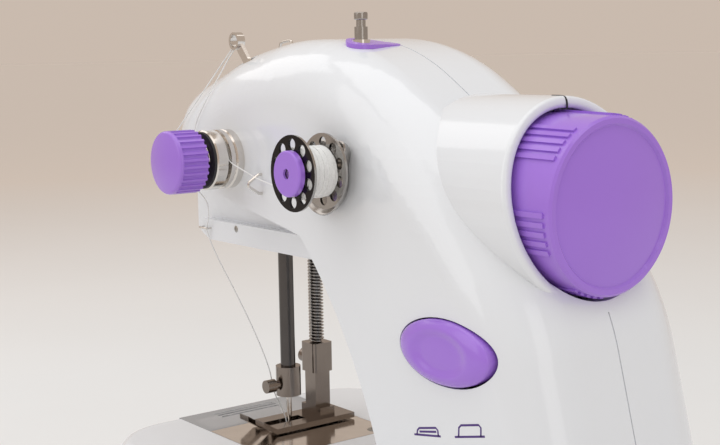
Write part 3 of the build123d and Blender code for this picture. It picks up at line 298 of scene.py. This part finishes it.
def raiseBrow(piece):
    mesh = piece.data
    work = bmesh.new()
    work.from_mesh(mesh)
    right, bottom, top = brow["across"][0], *brow["foot"]
    columns, rows = brow["columns"], brow["rows"]
    cuts = [(right + (brow["left"] - right) * k / columns, Vector((1, 0, 0))) for k in range(columns)]
    cuts += [(bottom + (top - bottom) * k / rows, Vector((0, 0, 1))) for k in range(rows)]
    for place, way in cuts:
        spot = way * (place * mm)
        everything = work.verts[:] + work.edges[:] + work.faces[:]
        bmesh.ops.bisect_plane(work, geom=everything, plane_co=spot, plane_no=way)
    for vertex in work.verts:
        x, z = vertex.co.x / mm, vertex.co.z / mm
        lift = smoothStep(*brow["foot"], z)
        vertex.co.z += brow["rise"] * lift * smoothStep(*brow["across"], x) * mm
        vertex.co.x -= brow["reach"] * lift * smoothStep(*brow["end"], x) * mm
    work.to_mesh(mesh)
    work.free()
    smoothFaces(mesh, dress["crease"])


for shell in ("front_shell", "rear_shell"):
    raiseBrow(dressed[shell])
print("brow raised")

# spool seat: its tail runs out into the crown, sizes in mm
seatTail = {"sink": 0.95, "along": (-13.0, 0.0)}


def sinkTail(piece):
    for vertex in piece.data.vertices:
        vertex.co.z -= seatTail["sink"] * smoothStep(*seatTail["along"], vertex.co.y / mm) * mm


sinkTail(dressed["spool_rod_seat"])
print("seat tail sunk")

# bobbin: front flange inside its rim keeps the very dark first finish as a painted dark reflection, smoky
# nickel elsewhere
bobbinLook = {"axis": (0.012, 0.140), "flangeBack": -0.0461, "edge": 0.00985}


def paintBobbin():
    mesh = dressed["bobbin"].data
    mesh.materials.append(finishes["smokyNickel"])
    x, z = bobbinLook["axis"]
    for face in mesh.polygons:
        corners = [mesh.vertices[v].co for v in face.vertices]
        inner = min(math.hypot(corner.x - x, corner.z - z) for corner in corners)
        # faces of the front flange inside its rim: painted dark reflection
        darkReflection = face.center.y < bobbinLook["flangeBack"] and inner < bobbinLook["edge"]
        face.material_index = 0 if darkReflection else 1


paintBobbin()
print("bobbin painted")


# geometry node trees
def startTree(name, inputs):
    tree = bpy.data.node_groups.new(name, "GeometryNodeTree")
    tree.interface.new_socket("Geometry", in_out="INPUT", socket_type="NodeSocketGeometry")
    for label, kind in inputs:
        tree.interface.new_socket(label, in_out="INPUT", socket_type="NodeSocket" + kind)
    tree.interface.new_socket("Geometry", in_out="OUTPUT", socket_type="NodeSocketGeometry")
    start, end = tree.nodes.new("NodeGroupInput"), tree.nodes.new("NodeGroupOutput")
    return tree, tree.nodes, tree.links, start.outputs, end.inputs


def endTree(nodes, links, geometry, material, end):
    real = nodes.new("GeometryNodeRealizeInstances")
    paint = nodes.new("GeometryNodeSetMaterial")
    links.new(geometry, real.inputs["Geometry"])
    links.new(real.outputs["Geometry"], paint.inputs["Geometry"])
    links.new(material, paint.inputs["Material"])
    links.new(paint.outputs["Geometry"], end["Geometry"])


def plainMesh(holder, name):
    depsgraph = bpy.context.evaluated_depsgraph_get()
    mesh = bpy.data.meshes.new_from_object(holder.evaluated_get(depsgraph), depsgraph=depsgraph)
    mesh.name = name
    return mesh


def growPiece(name, tree, values, base=None):
    seed = addObject(name + "Seed", base or bpy.data.meshes.new(name + "Seed"))
    grow = seed.modifiers.new("grow", "NODES")
    grow.node_group = tree
    for item in tree.interface.items_tree:
        if item.in_out == "INPUT" and item.name in values:
            grow[item.identifier] = values[item.name]
    mesh = plainMesh(seed, name)
    seed.modifiers.remove(grow)
    bpy.data.objects.remove(seed)
    return addObject(name, mesh)


# one wound strand: a spiral along Z, turned and placed, with a little unevenness
waverNoise = {"scale": 420.0, "detail": 1.0, "middle": (0.5, 0.5, 0.5)}


def coilTree():
    inputs = [("turns", "Float"), ("radius", "Float"), ("length", "Float"), ("strand", "Float"),
              ("steps", "Int"), ("sides", "Int"), ("waver", "Float"), ("turn", "Rotation"),
              ("place", "Vector"), ("finish", "Material")]
    tree, nodes, links, start, end = startTree("woundStrand", inputs)
    spiral = nodes.new("GeometryNodeCurveSpiral")
    links.new(start["steps"], spiral.inputs["Resolution"])
    links.new(start["turns"], spiral.inputs["Rotations"])
    links.new(start["radius"], spiral.inputs["Start Radius"])
    links.new(start["radius"], spiral.inputs["End Radius"])
    links.new(start["length"], spiral.inputs["Height"])
    noise = nodes.new("ShaderNodeTexNoise")
    noise.inputs["Scale"].default_value = waverNoise["scale"]
    noise.inputs["Detail"].default_value = waverNoise["detail"]
    position = nodes.new("GeometryNodeInputPosition")
    links.new(position.outputs["Position"], noise.inputs["Vector"])
    centre = nodes.new("ShaderNodeVectorMath")
    centre.operation = "SUBTRACT"
    centre.inputs[1].default_value = waverNoise["middle"]
    links.new(noise.outputs["Color"], centre.inputs[0])
    scale = nodes.new("ShaderNodeVectorMath")
    scale.operation = "SCALE"
    links.new(centre.outputs["Vector"], scale.inputs[0])
    links.new(start["waver"], scale.inputs["Scale"])
    shift = nodes.new("GeometryNodeSetPosition")
    links.new(spiral.outputs["Curve"], shift.inputs["Geometry"])
    links.new(scale.outputs["Vector"], shift.inputs["Offset"])
    ring = nodes.new("GeometryNodeCurvePrimitiveCircle")
    links.new(start["sides"], ring.inputs["Resolution"])
    links.new(start["strand"], ring.inputs["Radius"])
    tube = nodes.new("GeometryNodeCurveToMesh")
    tube.inputs["Fill Caps"].default_value = True
    links.new(shift.outputs["Geometry"], tube.inputs["Curve"])
    links.new(ring.outputs["Curve"], tube.inputs["Profile Curve"])
    placed = nodes.new("GeometryNodeTransform")
    links.new(tube.outputs["Mesh"], placed.inputs["Geometry"])
    links.new(start["turn"], placed.inputs["Rotation"])
    links.new(start["place"], placed.inputs["Translation"])
    endTree(nodes, links, placed.outputs["Geometry"], start["finish"], end)
    return tree


woundStrand = coilTree()
woundCrease = 80.0
winding = {"turns": 30.0, "radius": 6.76 * mm, "length": 8.9 * mm, "strand": 0.19 * mm, "steps": 26,
           "sides": 7, "waver": 0.16 * mm, "turn": (math.radians(90), 0.0, 0.0),
           "place": (0.012, -0.0372, 0.140)}
crossing = {"turns": 5.3, "radius": 6.93 * mm, "length": 8.3 * mm, "strand": 0.17 * mm, "steps": 48,
            "sides": 7, "waver": 0.3 * mm, "turn": (math.radians(-90), 0.0, 0.0),
            "place": (0.012, -0.0460, 0.140)}
spring = {"turns": 33.0, "radius": 2.3 * mm, "length": 35.8 * mm, "strand": 0.32 * mm, "steps": 24,
          "sides": 8, "waver": 0.0, "turn": (0.0, 0.0, 0.0), "place": (-0.062, 0.012, 0.07385),
          "keep": 0.833, "anchor": (-0.062, 0.012, 0.110)}


def joinPieces(name, pieces):
    work = bmesh.new()
    for piece in pieces:
        work.from_mesh(piece.data)
    mesh = bpy.data.meshes.new(name)
    work.to_mesh(mesh)
    work.free()
    for material in pieces[0].data.materials:
        mesh.materials.append(material)
    for piece in pieces:
        bpy.data.objects.remove(piece)
    return addObject(name, mesh)


def makeWinding():
    layers = [growPiece("layer", woundStrand, {**spec, "finish": finishes["thread"]})
              for spec in (winding, crossing)]
    piece = joinPieces("bobbinWinding", layers)
    smoothFaces(piece.data, woundCrease)
    seat(piece, "bobbin_set", "thread", "bobbin_thread")
    print("bobbin wound,", len(piece.data.polygons), "faces")


def makeSpring():
    piece = growPiece("presserSpring", woundStrand, {**spring, "finish": finishes["smokyNickel"]})
    smoothFaces(piece.data, woundCrease)
    seat(piece, "housing", "plated_steel", "presser_spring")
    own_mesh(piece)
    print("presser spring wound")


makeWinding()
makeSpring()


# shapes made of rings: each ring is joined to the next, and the last one is closed
def ringAngles(count):
    return [2 * math.pi * k / count for k in range(count)]


def skinRows(work, rows):
    count = len(rows[-1])
    for spoke in range(count):
        after = (spoke + 1) % count
        for inner, outer in zip(rows, rows[1:]):
            if len(inner) == 1:
                work.faces.new((inner[0], outer[spoke], outer[after]))
            else:
                work.faces.new((inner[spoke], outer[spoke], outer[after], inner[after]))
    work.faces.new(rows[-1])


def makeMesh(work, name):
    bmesh.ops.recalc_face_normals(work, faces=work.faces)
    mesh = bpy.data.meshes.new(name)
    work.to_mesh(mesh)
    work.free()
    return mesh


# push button: pillow with a shallow dish, its edge level with the panel; places in metres, sizes in mm
button = {"middle": (0.0549, 0.0969), "half": (16.6, 8.3), "panel": -0.032, "back": -0.0276, "rise": 2.7,
          "edge": (3.4, 0.55), "dish": (11.2, 6.2), "sink": 1.15, "slope": (0.62, 1.04), "rings": 30,
          "spokes": 112, "crease": 50.0}


def buttonHeight(x, z):
    outer = math.hypot(x / button["half"][0], z / button["half"][1])
    inner = math.hypot(x / button["dish"][0], z / button["dish"][1])
    steep, blunt = button["edge"]
    pillow = button["rise"] * max(0.0, 1 - outer ** steep) ** blunt
    return pillow - button["sink"] * (1 - smoothStep(*button["slope"], inner))


def makeButton():
    work = bmesh.new()
    cx, cz = button["middle"]
    rows = []
    for ring in range(button["rings"] + 1):
        share = math.sin(ring / button["rings"] * math.pi / 2)
        row = []
        for angle in ringAngles(button["spokes"] if ring else 1):
            x = button["half"][0] * share * math.cos(angle)
            z = button["half"][1] * share * math.sin(angle)
            y = button["panel"] - buttonHeight(x, z) * mm
            row.append(work.verts.new((cx + x * mm, y, cz + z * mm)))
        rows.append(row)
    rows.append([work.verts.new((v.co.x, button["back"], v.co.z)) for v in rows[-1]])
    skinRows(work, rows)
    mesh = makeMesh(work, "powerButton")
    mesh.materials.append(finishes["purple_plastic"])
    smoothFaces(mesh, button["crease"])
    seat(addObject("powerButton", mesh), "button", "purple_plastic", "power_button")
    print("button made")


makeButton()

# threads: one smooth line each, made a tube, routes in mm
tubeLook = {"order": 3, "steps": 10, "crease": 60.0}


def tubePiece(name, points, radius, material, sides):
    curve = bpy.data.curves.new(name, "CURVE")
    curve.dimensions = "3D"
    curve.bevel_depth = radius
    curve.bevel_resolution = sides
    curve.use_fill_caps = True
    curve.resolution_u = tubeLook["steps"]
    line = curve.splines.new("NURBS")
    line.points.add(len(points) - 1)
    for spot, place in zip(line.points, points):
        spot.co = (place[0] * mm, place[1] * mm, place[2] * mm, 1.0)
    line.order_u = tubeLook["order"]
    line.use_endpoint_u = True
    holder = addObject(name + "Line", curve)
    mesh = plainMesh(holder, name)
    bpy.data.objects.remove(holder)
    mesh.materials.clear()
    mesh.materials.append(material)
    smoothFaces(mesh, tubeLook["crease"])
    return addObject(name, mesh)


threads = {
    "radius": 0.19 * mm, "sides": 3,
    "spans": {"toEyelet": ("housing", "take_up"), "fromEyelet": ("take_up", "housing"),
              "toNeedle": ("housing", "needle_unit")},
    "fromBobbin": [
        (16.0, -42.0, 134.2), (13.6, -42.0, 133.05), (11.0, -41.9, 133.1), (-8.0, -38.0, 134.2),
        (-26.0, -33.7, 135.1), (-30.0, -35.6, 137.4), (-35.6, -37.0, 139.7), (-36.3, -37.0, 141.4),
        (-37.3, -37.0, 144.2), (-40.2, -37.0, 147.0), (-44.0, -37.0, 147.9), (-48.0, -37.0, 146.9),
        (-51.2, -37.0, 143.6), (-54.0, -37.0, 142.2), (-66.0, -36.6, 141.3), (-75.0, -36.2, 141.0),
        (-76.2, -36.1, 141.6)],
    "toEyelet": [
        (-76.2, -36.1, 141.6), (-75.8, -35.9, 142.4), (-65.8, -29.5, 157.2), (-55.4, -22.8, 173.0),
        (-54.2, -22.1, 174.0), (-53.4, -22.0, 174.0)],
    "fromEyelet": [
        (-53.4, -22.0, 174.0), (-54.0, -23.2, 172.6), (-57.3, -27.2, 163.7), (-58.4, -31.4, 156.6),
        (-62.8, -32.7, 149.4), (-64.5, -32.9, 141.0), (-66.0, -32.7, 133.5), (-66.8, -31.0, 129.5),
        (-68.0, -25.8, 124.5), (-68.6, -25.0, 119.5), (-70.4, -24.8, 116.2), (-70.9, -24.7, 115.0)],
    "toNeedle": [
        (-70.9, -24.7, 115.0), (-70.2, -24.3, 110.6), (-66.6, -14.0, 88.0), (-64.8, -5.6, 67.0),
        (-64.6, -4.6, 58.0), (-62.3, -1.3, 50.0), (-62.0, -0.78, 44.0), (-62.0, -0.72, 40.0)],
}


def makeThread(name):
    title = "thread" + name[0].upper() + name[1:]
    return tubePiece(title, threads[name], threads["radius"], finishes["thread"], threads["sides"])


def makeThreads():
    seat(makeThread("fromBobbin"), "housing", "thread")
    for name, (bodyA, bodyB) in threads["spans"].items():
        piece = makeThread(name)
        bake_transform(piece)
        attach(piece, "housing")
    print("threads laid")


makeThreads()

# wire guides on the face plate, behind the tension knob and on the head, and a dark tube in the collar's
# parting line as painted shadow, in mm
wireSides = 4
wireGuides = {
    "plateThreadGuide": {"slot": "plated_steel", "wire": 0.32, "points": [
        (-74.4, -23.2, 115.3), (-75.2, -25.0, 115.3), (-73.6, -25.6, 115.3), (-71.4, -25.6, 115.3),
        (-69.8, -25.0, 115.3), (-70.2, -23.2, 115.3)]},
    "checkHook": {"slot": "plated_steel", "wire": 0.36, "points": [
        (-76.6, -28.0, 139.6), (-76.6, -36.0, 139.9), (-76.7, -37.6, 140.4), (-76.7, -37.4, 142.6),
        (-76.7, -36.2, 143.0)]},
    "rearThreadGuide": {"slot": "plated_steel", "wire": 0.45, "replaces": ["thread_guide_rear"], "points": [
        (-44.4, -12.0, 171.0), (-44.4, -12.0, 174.4), (-42.6, -12.0, 175.0), (-39.0, -12.0, 175.4),
        (-37.6, -12.0, 175.0), (-37.6, -12.0, 172.0)]},
    # a dark tube standing in the collar's parting line: painted shadow
    "partingGap": {"slot": "dark_plastic", "wire": 0.26, "points": [
        (60.8, 0.0, 159.7), (63.5, 0.0, 159.72), (65.2, 0.0, 159.6), (65.9, 0.0, 158.6), (66.1, 0.0, 157.4),
        (66.0, 0.0, 156.8)]},
}


def makeGuides():
    for name, spec in wireGuides.items():
        piece = tubePiece(name, spec["points"], spec["wire"] * mm, finishes[spec["slot"]], wireSides)
        seat(piece, "housing", spec["slot"], *spec.get("replaces", []))
    print("wire guides bent")


makeGuides()

# face plate: the solid's plate, its left end cut short and rounded, in mm
facePlate = {"left": -75.2, "corner": 5.0, "bottom": 111.5, "cuts": 7}


def makeFacePlate():
    mesh = cleanCopy("head_cover")
    work = bmesh.new()
    work.from_mesh(mesh)
    radius = facePlate["corner"]
    centre = Vector((facePlate["left"] + radius, 0.0, facePlate["bottom"] + radius))
    for cut in range(facePlate["cuts"]):
        angle = math.pi / 2 * cut / facePlate["cuts"]
        way = Vector((-math.cos(angle), 0.0, -math.sin(angle)))
        everything = work.verts[:] + work.edges[:] + work.faces[:]
        done = bmesh.ops.bisect_plane(work, geom=everything, plane_co=(centre + way * radius) * mm,
                                      plane_no=way, clear_outer=True)
        rim = [e for e in done["geom_cut"] if isinstance(e, bmesh.types.BMEdge) and e.is_boundary]
        bmesh.ops.holes_fill(work, edges=rim, sides=0)
    bmesh.ops.recalc_face_normals(work, faces=work.faces)
    work.to_mesh(mesh)
    work.free()
    mesh.materials.append(finishes["white_plastic"])
    smoothFaces(mesh, dress["crease"])
    seat(addObject("facePlate", mesh), bodyOfNode["head_cover"], slotOfNode["head_cover"], "head_cover")
    print("face plate trimmed")


makeFacePlate()

# drag cup behind the bobbin: an open bowl with an ear, flaring from the panel to its rim
dragCup = {
    "middle": (9.0, 138.0), "radius": 10.4, "ear": 4.2, "earAngle": 41.5, "earWidth": 15.0, "spokes": 96,
    "crease": 50.0,
    "profile": [(0.72, 0.0, -31.9), (0.84, 0.0, -32.6), (0.94, 0.0, -34.0), (1.0, 0.0, -35.6),
                (1.0, 0.3, -35.95), (1.0, 0.8, -35.6), (0.94, 0.8, -34.2), (0.80, 0.8, -33.2),
                (0.45, 0.8, -32.8)],  # share of the radius, inset, y
}


def cupReach(angle):
    off = (math.degrees(angle) - dragCup["earAngle"] + 180.0) % 360.0 - 180.0
    return dragCup["radius"] + dragCup["ear"] * math.exp(-(off / dragCup["earWidth"]) ** 2)


def makeDragCup():
    work = bmesh.new()
    x, z = dragCup["middle"]
    rows = []
    for share, inset, y in dragCup["profile"]:
        row = []
        for angle in ringAngles(dragCup["spokes"]):
            reach = cupReach(angle) * share - inset
            across, up = x + reach * math.cos(angle), z + reach * math.sin(angle)
            row.append(work.verts.new((across * mm, y * mm, up * mm)))
        rows.append(row)
    skinRows(work, rows)
    work.faces.new(rows[0])
    mesh = makeMesh(work, "bobbinDragCup")
    mesh.materials.append(finishes["smokyNickel"])
    smoothFaces(mesh, dragCup["crease"])
    piece = addObject("bobbinDragCup", mesh)
    seat(piece, bodyOfNode["bobbin_drag_cup"], slotOfNode["bobbin_drag_cup"], "bobbin_drag_cup")
    print("drag cup made")


makeDragCup()

# screws: one cross-headed screw of radius 1, set on points that carry their own turn and size
screwShape = {"spokes": 20, "profile": [(0.45, 0.33), (0.75, 0.28), (0.93, 0.16), (1.0, 0.0), (1.0, -0.5)],
              "arm": 0.62, "half": 0.13, "mouth": 0.68, "floor": 0.5, "sink": -0.12}


def screwHead():
    work = bmesh.new()
    rows = [[work.verts.new((radius * math.cos(a), radius * math.sin(a), height))
             for a in ringAngles(screwShape["spokes"])] for radius, height in screwShape["profile"]]
    skinRows(work, rows)
    arm, half, level = screwShape["arm"], screwShape["half"], screwShape["profile"][0][1]
    corners = [(half, arm), (-half, arm), (-half, half), (-arm, half), (-arm, -half), (-half, -half),
               (-half, -arm), (half, -arm), (half, -half), (arm, -half), (arm, half), (half, half)]
    mouth, floor = screwShape["mouth"], screwShape["floor"]
    top = [work.verts.new((x * mouth, y * mouth, level)) for x, y in corners]
    low = [work.verts.new((x * floor, y * floor, screwShape["sink"])) for x, y in corners]
    for i in range(len(corners)):
        after = (i + 1) % len(corners)
        work.faces.new((top[i], top[after], low[after], low[i]))
    work.faces.new(low)
    flat = set(rows[0] + top)  # the head's top, round the cross
    rim = [e for e in work.edges if e.is_boundary and flat.issuperset(e.verts)]
    bmesh.ops.triangle_fill(work, edges=rim, use_beauty=True, use_dissolve=False)
    return makeMesh(work, "screwHead")


def screwTree():
    inputs = [("head", "Object"), ("finish", "Material")]
    tree, nodes, links, start, end = startTree("screwSet", inputs)
    info = nodes.new("GeometryNodeObjectInfo")
    links.new(start["head"], info.inputs["Object"])
    turn = nodes.new("GeometryNodeInputNamedAttribute")
    turn.data_type = "FLOAT_VECTOR"
    turn.inputs["Name"].default_value = "turn"
    size = nodes.new("GeometryNodeInputNamedAttribute")
    size.data_type = "FLOAT"
    size.inputs["Name"].default_value = "size"
    spread = nodes.new("GeometryNodeInstanceOnPoints")
    links.new(start["Geometry"], spread.inputs["Points"])
    links.new(info.outputs["Geometry"], spread.inputs["Instance"])
    links.new(turn.outputs["Attribute"], spread.inputs["Rotation"])
    links.new(size.outputs["Attribute"], spread.inputs["Scale"])
    endTree(nodes, links, spread.outputs["Instances"], start["finish"], end)
    return tree


screwTurn = {"first": 23, "step": 61, "crease": 35.0}  # turn of the cross in degrees
# way the head faces, radius and places in mm
screws = {
    "back": {"way": (0, 1, 0), "radius": 2.6,
             "spots": [(-66, 31.9, 132), (-4, 31.9, 142), (50, 31.9, 120), (72, 31.9, 64), (46, 31.9, 58)]},
    "under": {"way": (0, 0, -1), "radius": 2.8,
              "spots": [(-84, 10, 3.1), (84, 10, 3.1), (-38, 44, 3.1), (44, 44, 3.1), (5, -8, 3.1)]},
    "plate": {"way": (0, 0, 1), "radius": 2.4, "spots": [(-40, -19, 45.6), (-40, 19, 45.6)]},
    "face": {"way": (0, -1, 0), "radius": 1.2, "spots": [(-54.7, -23.3, 116.4)]},
}


def makeScrews():
    places, turns, sizes = [], [], []
    for row in screws.values():
        facing = Vector(row["way"]).to_track_quat("Z", "Y")
        for number, spot in enumerate(row["spots"]):
            spin = Matrix.Rotation(math.radians(screwTurn["first"] + screwTurn["step"] * number), 3, "Z")
            places.append(Vector(spot) * mm)
            turns.extend((facing.to_matrix() @ spin).to_euler())
            sizes.append(row["radius"] * mm)
    points = bpy.data.meshes.new("screwSpots")
    points.from_pydata(places, [], [])
    points.attributes.new("turn", "FLOAT_VECTOR", "POINT").data.foreach_set("vector", turns)
    points.attributes.new("size", "FLOAT", "POINT").data.foreach_set("value", sizes)
    head = addObject("screwHead", screwHead())
    piece = growPiece("housingScrews", screwTree(), {"head": head, "finish": finishes["zincScrews"]}, points)
    bpy.data.objects.remove(head)
    smoothFaces(piece.data, screwTurn["crease"])
    seat(piece, "housing", "plated_steel")
    print("screws set,", len(places))


makeScrews()

# in and out marks under the button, printed on the panel, lines in mm
marks = {
    "panel": -0.032, "proud": 0.03 * mm, "width": 0.55, "weld": 1e-7,
    "lines": [
        [(43.1, 73.3), (53.5, 75.1)],
        [(44.2, 73.5), (44.4, 74.7), (45.1, 75.4), (51.6, 76.9), (52.4, 76.4), (52.6, 74.9)],
        [(45.2, 74.5), (51.8, 75.9)],
        [(58.9, 76.2), (69.8, 78.8)],
        [(60.3, 76.5), (60.4, 78.9), (61.2, 79.7), (67.6, 81.2), (68.4, 80.7), (68.4, 78.4)],
    ],
}


def makeMarks():
    work = bmesh.new()
    front, rear = marks["panel"] - marks["proud"], marks["panel"] + marks["proud"]
    half = marks["width"] / 2
    for line in marks["lines"]:
        points = [Vector(p) for p in line]
        left, right = [], []
        for i, point in enumerate(points):
            before, after = points[max(0, i - 1)], points[min(len(points) - 1, i + 1)]
            along = (after - before).normalized()
            side = Vector((-along.y, along.x)) * half
            left.append(point + side)
            right.append(point - side)
        for i in range(len(points) - 1):
            quad = [left[i], left[i + 1], right[i + 1], right[i]]
            for y, corners in ((front, quad), (rear, quad[::-1])):
                work.faces.new([work.verts.new((p.x * mm, y, p.y * mm)) for p in corners])
        rim = [(p.x * mm, p.y * mm) for p in left + right[::-1]]
        for (xa, za), (xb, zb) in zip(rim, rim[1:] + rim[:1]):
            wall = ((xa, front, za), (xb, front, zb), (xb, rear, zb), (xa, rear, za))
            work.faces.new([work.verts.new(corner) for corner in wall])
    bmesh.ops.remove_doubles(work, verts=work.verts, dist=marks["weld"])
    mesh = makeMesh(work, "pressMarks")
    mesh.materials.append(finishes["iconInk"])
    seat(addObject("pressMarks", mesh), "housing", "dark_plastic")
    print("press marks drawn")


makeMarks()

# lamp lens under the head, in mm
lens = {"place": (-46.0, -8.0, 111.5), "radius": 3.0, "drop": 1.6, "root": 0.5, "spokes": 32, "rings": 8,
        "crease": 50.0}


def makeLens():
    work = bmesh.new()
    x, y, z = lens["place"]
    rows = []
    for ring in range(lens["rings"] + 1):
        tilt = math.pi / 2 * ring / lens["rings"]
        radius, fall = lens["radius"] * math.sin(tilt), lens["drop"] * math.cos(tilt)
        rows.append([work.verts.new(((x + radius * math.cos(a)) * mm, (y + radius * math.sin(a)) * mm,
                                     (z - fall) * mm)) for a in ringAngles(lens["spokes"] if ring else 1)])
    rows.append([work.verts.new((v.co.x, v.co.y, (z + lens["root"]) * mm)) for v in rows[-1]])
    skinRows(work, rows)
    mesh = makeMesh(work, "lampLens")
    mesh.materials.append(finishes["lampLens"])
    smoothFaces(mesh, lens["crease"])
    seat(addObject("lampLens", mesh), "housing", "clear_plastic")
    print("lamp lens set")


makeLens()

# stage: the floor turns from its own colour to the wall's with the distance from the part
stageLook = {"floor": (0.80, 0.775, 0.75), "wall": (0.86, 0.72, 0.61), "far": (0.588, 0.495, 0.424),
             "fill": 0.70, "fillColour": (0.98, 0.99, 1.0), "size": 60.0, "near": (0.35, 1.5),
             "cloudScale": 6.0, "tint": (0.985, 1.01), "rough": 0.7, "specular": 0.1}


def makeFloor():
    mesh = bpy.data.meshes.new("floor")
    half = stageLook["size"] / 2
    corners = [(-half, -half, 0), (half, -half, 0), (half, half, 0), (-half, half, 0)]
    mesh.from_pydata(corners, [], [(0, 1, 2, 3)])
    floor = addObject("floor", mesh)
    material, nodes, links, shader, coords = startMaterial("paleFloor")
    pale, bright = shades(stageLook["floor"], stageLook["tint"])
    tint = noiseRamp(nodes, links, coords, stageLook["cloudScale"], pale, bright)[0]
    away = nodes.new("ShaderNodeVectorMath")
    away.operation = "LENGTH"
    links.new(coords, away.inputs[0])
    share = nodes.new("ShaderNodeMapRange")
    share.inputs["From Min"].default_value, share.inputs["From Max"].default_value = stageLook["near"]
    links.new(away.outputs["Value"], share.inputs["Value"])
    mix = nodes.new("ShaderNodeMix")
    mix.data_type = "RGBA"
    mix.inputs["B"].default_value = stageLook["wall"] + (1.0,)
    links.new(share.outputs["Result"], mix.inputs["Factor"])
    links.new(tint, mix.inputs["A"])
    links.new(mix.outputs["Result"], shader.inputs["Base Color"])
    shader.inputs["Roughness"].default_value = stageLook["rough"]
    shader.inputs["Specular IOR Level"].default_value = stageLook["specular"]
    mesh.materials.append(material)


def makeWorld():
    world = bpy.data.worlds.new("studio")
    scene.world = world
    world.use_nodes = True
    nodes, links = world.node_tree.nodes, world.node_tree.links
    nodes.clear()
    out = nodes.new("ShaderNodeOutputWorld")
    seen, lit = nodes.new("ShaderNodeBackground"), nodes.new("ShaderNodeBackground")
    seen.inputs["Color"].default_value = stageLook["far"] + (1.0,)
    seen.inputs["Strength"].default_value = 1.0
    lit.inputs["Color"].default_value = stageLook["fillColour"] + (1.0,)
    lit.inputs["Strength"].default_value = stageLook["fill"]
    path = nodes.new("ShaderNodeLightPath")
    mix = nodes.new("ShaderNodeMixShader")
    clear, either = nodes.new("ShaderNodeMath"), nodes.new("ShaderNodeMath")
    clear.operation = either.operation = "MAXIMUM"
    links.new(path.outputs["Is Camera Ray"], clear.inputs[0])
    links.new(path.outputs["Is Transmission Ray"], clear.inputs[1])
    links.new(clear.outputs["Value"], either.inputs[0])
    links.new(path.outputs["Is Glossy Ray"], either.inputs[1])
    links.new(either.outputs["Value"], mix.inputs["Fac"])
    links.new(lit.outputs["Background"], mix.inputs[1])
    links.new(seen.outputs["Background"], mix.inputs[2])
    links.new(mix.outputs["Shader"], out.inputs["Surface"])


lamps = {
    "key": {"place": (-0.25, -0.80, 0.62), "aim": (0.0, 0.0, 0.12), "size": (0.60, 0.80), "power": 1.3},
    "window": {"place": (-0.62, -0.16, 0.62), "aim": (0.03, -0.03, 0.12), "size": (0.34, 0.46), "power": 0.5},
    "side": {"place": (0.95, -0.25, 0.45), "aim": (0.02, 0.0, 0.11), "size": (0.40, 0.70), "power": 0.7},
    "top": {"place": (0.05, -0.05, 1.0), "aim": (0.0, 0.0, 0.12), "size": (1.05, 0.85), "power": 2.9},
}


def makeLamps():
    for name, spec in lamps.items():
        data = bpy.data.lights.new(name, "AREA")
        data.shape = "RECTANGLE"
        data.size, data.size_y = spec["size"]
        data.energy = spec["power"]
        place = Vector(spec["place"])
        turn = (place - Vector(spec["aim"])).to_track_quat("Z", "Y").to_matrix().to_4x4()
        addObject(name, data).matrix_world = Matrix.Translation(place) @ turn


makeFloor()
makeWorld()
makeLamps()
scene.view_settings.view_transform = "Standard"
print("stage set")
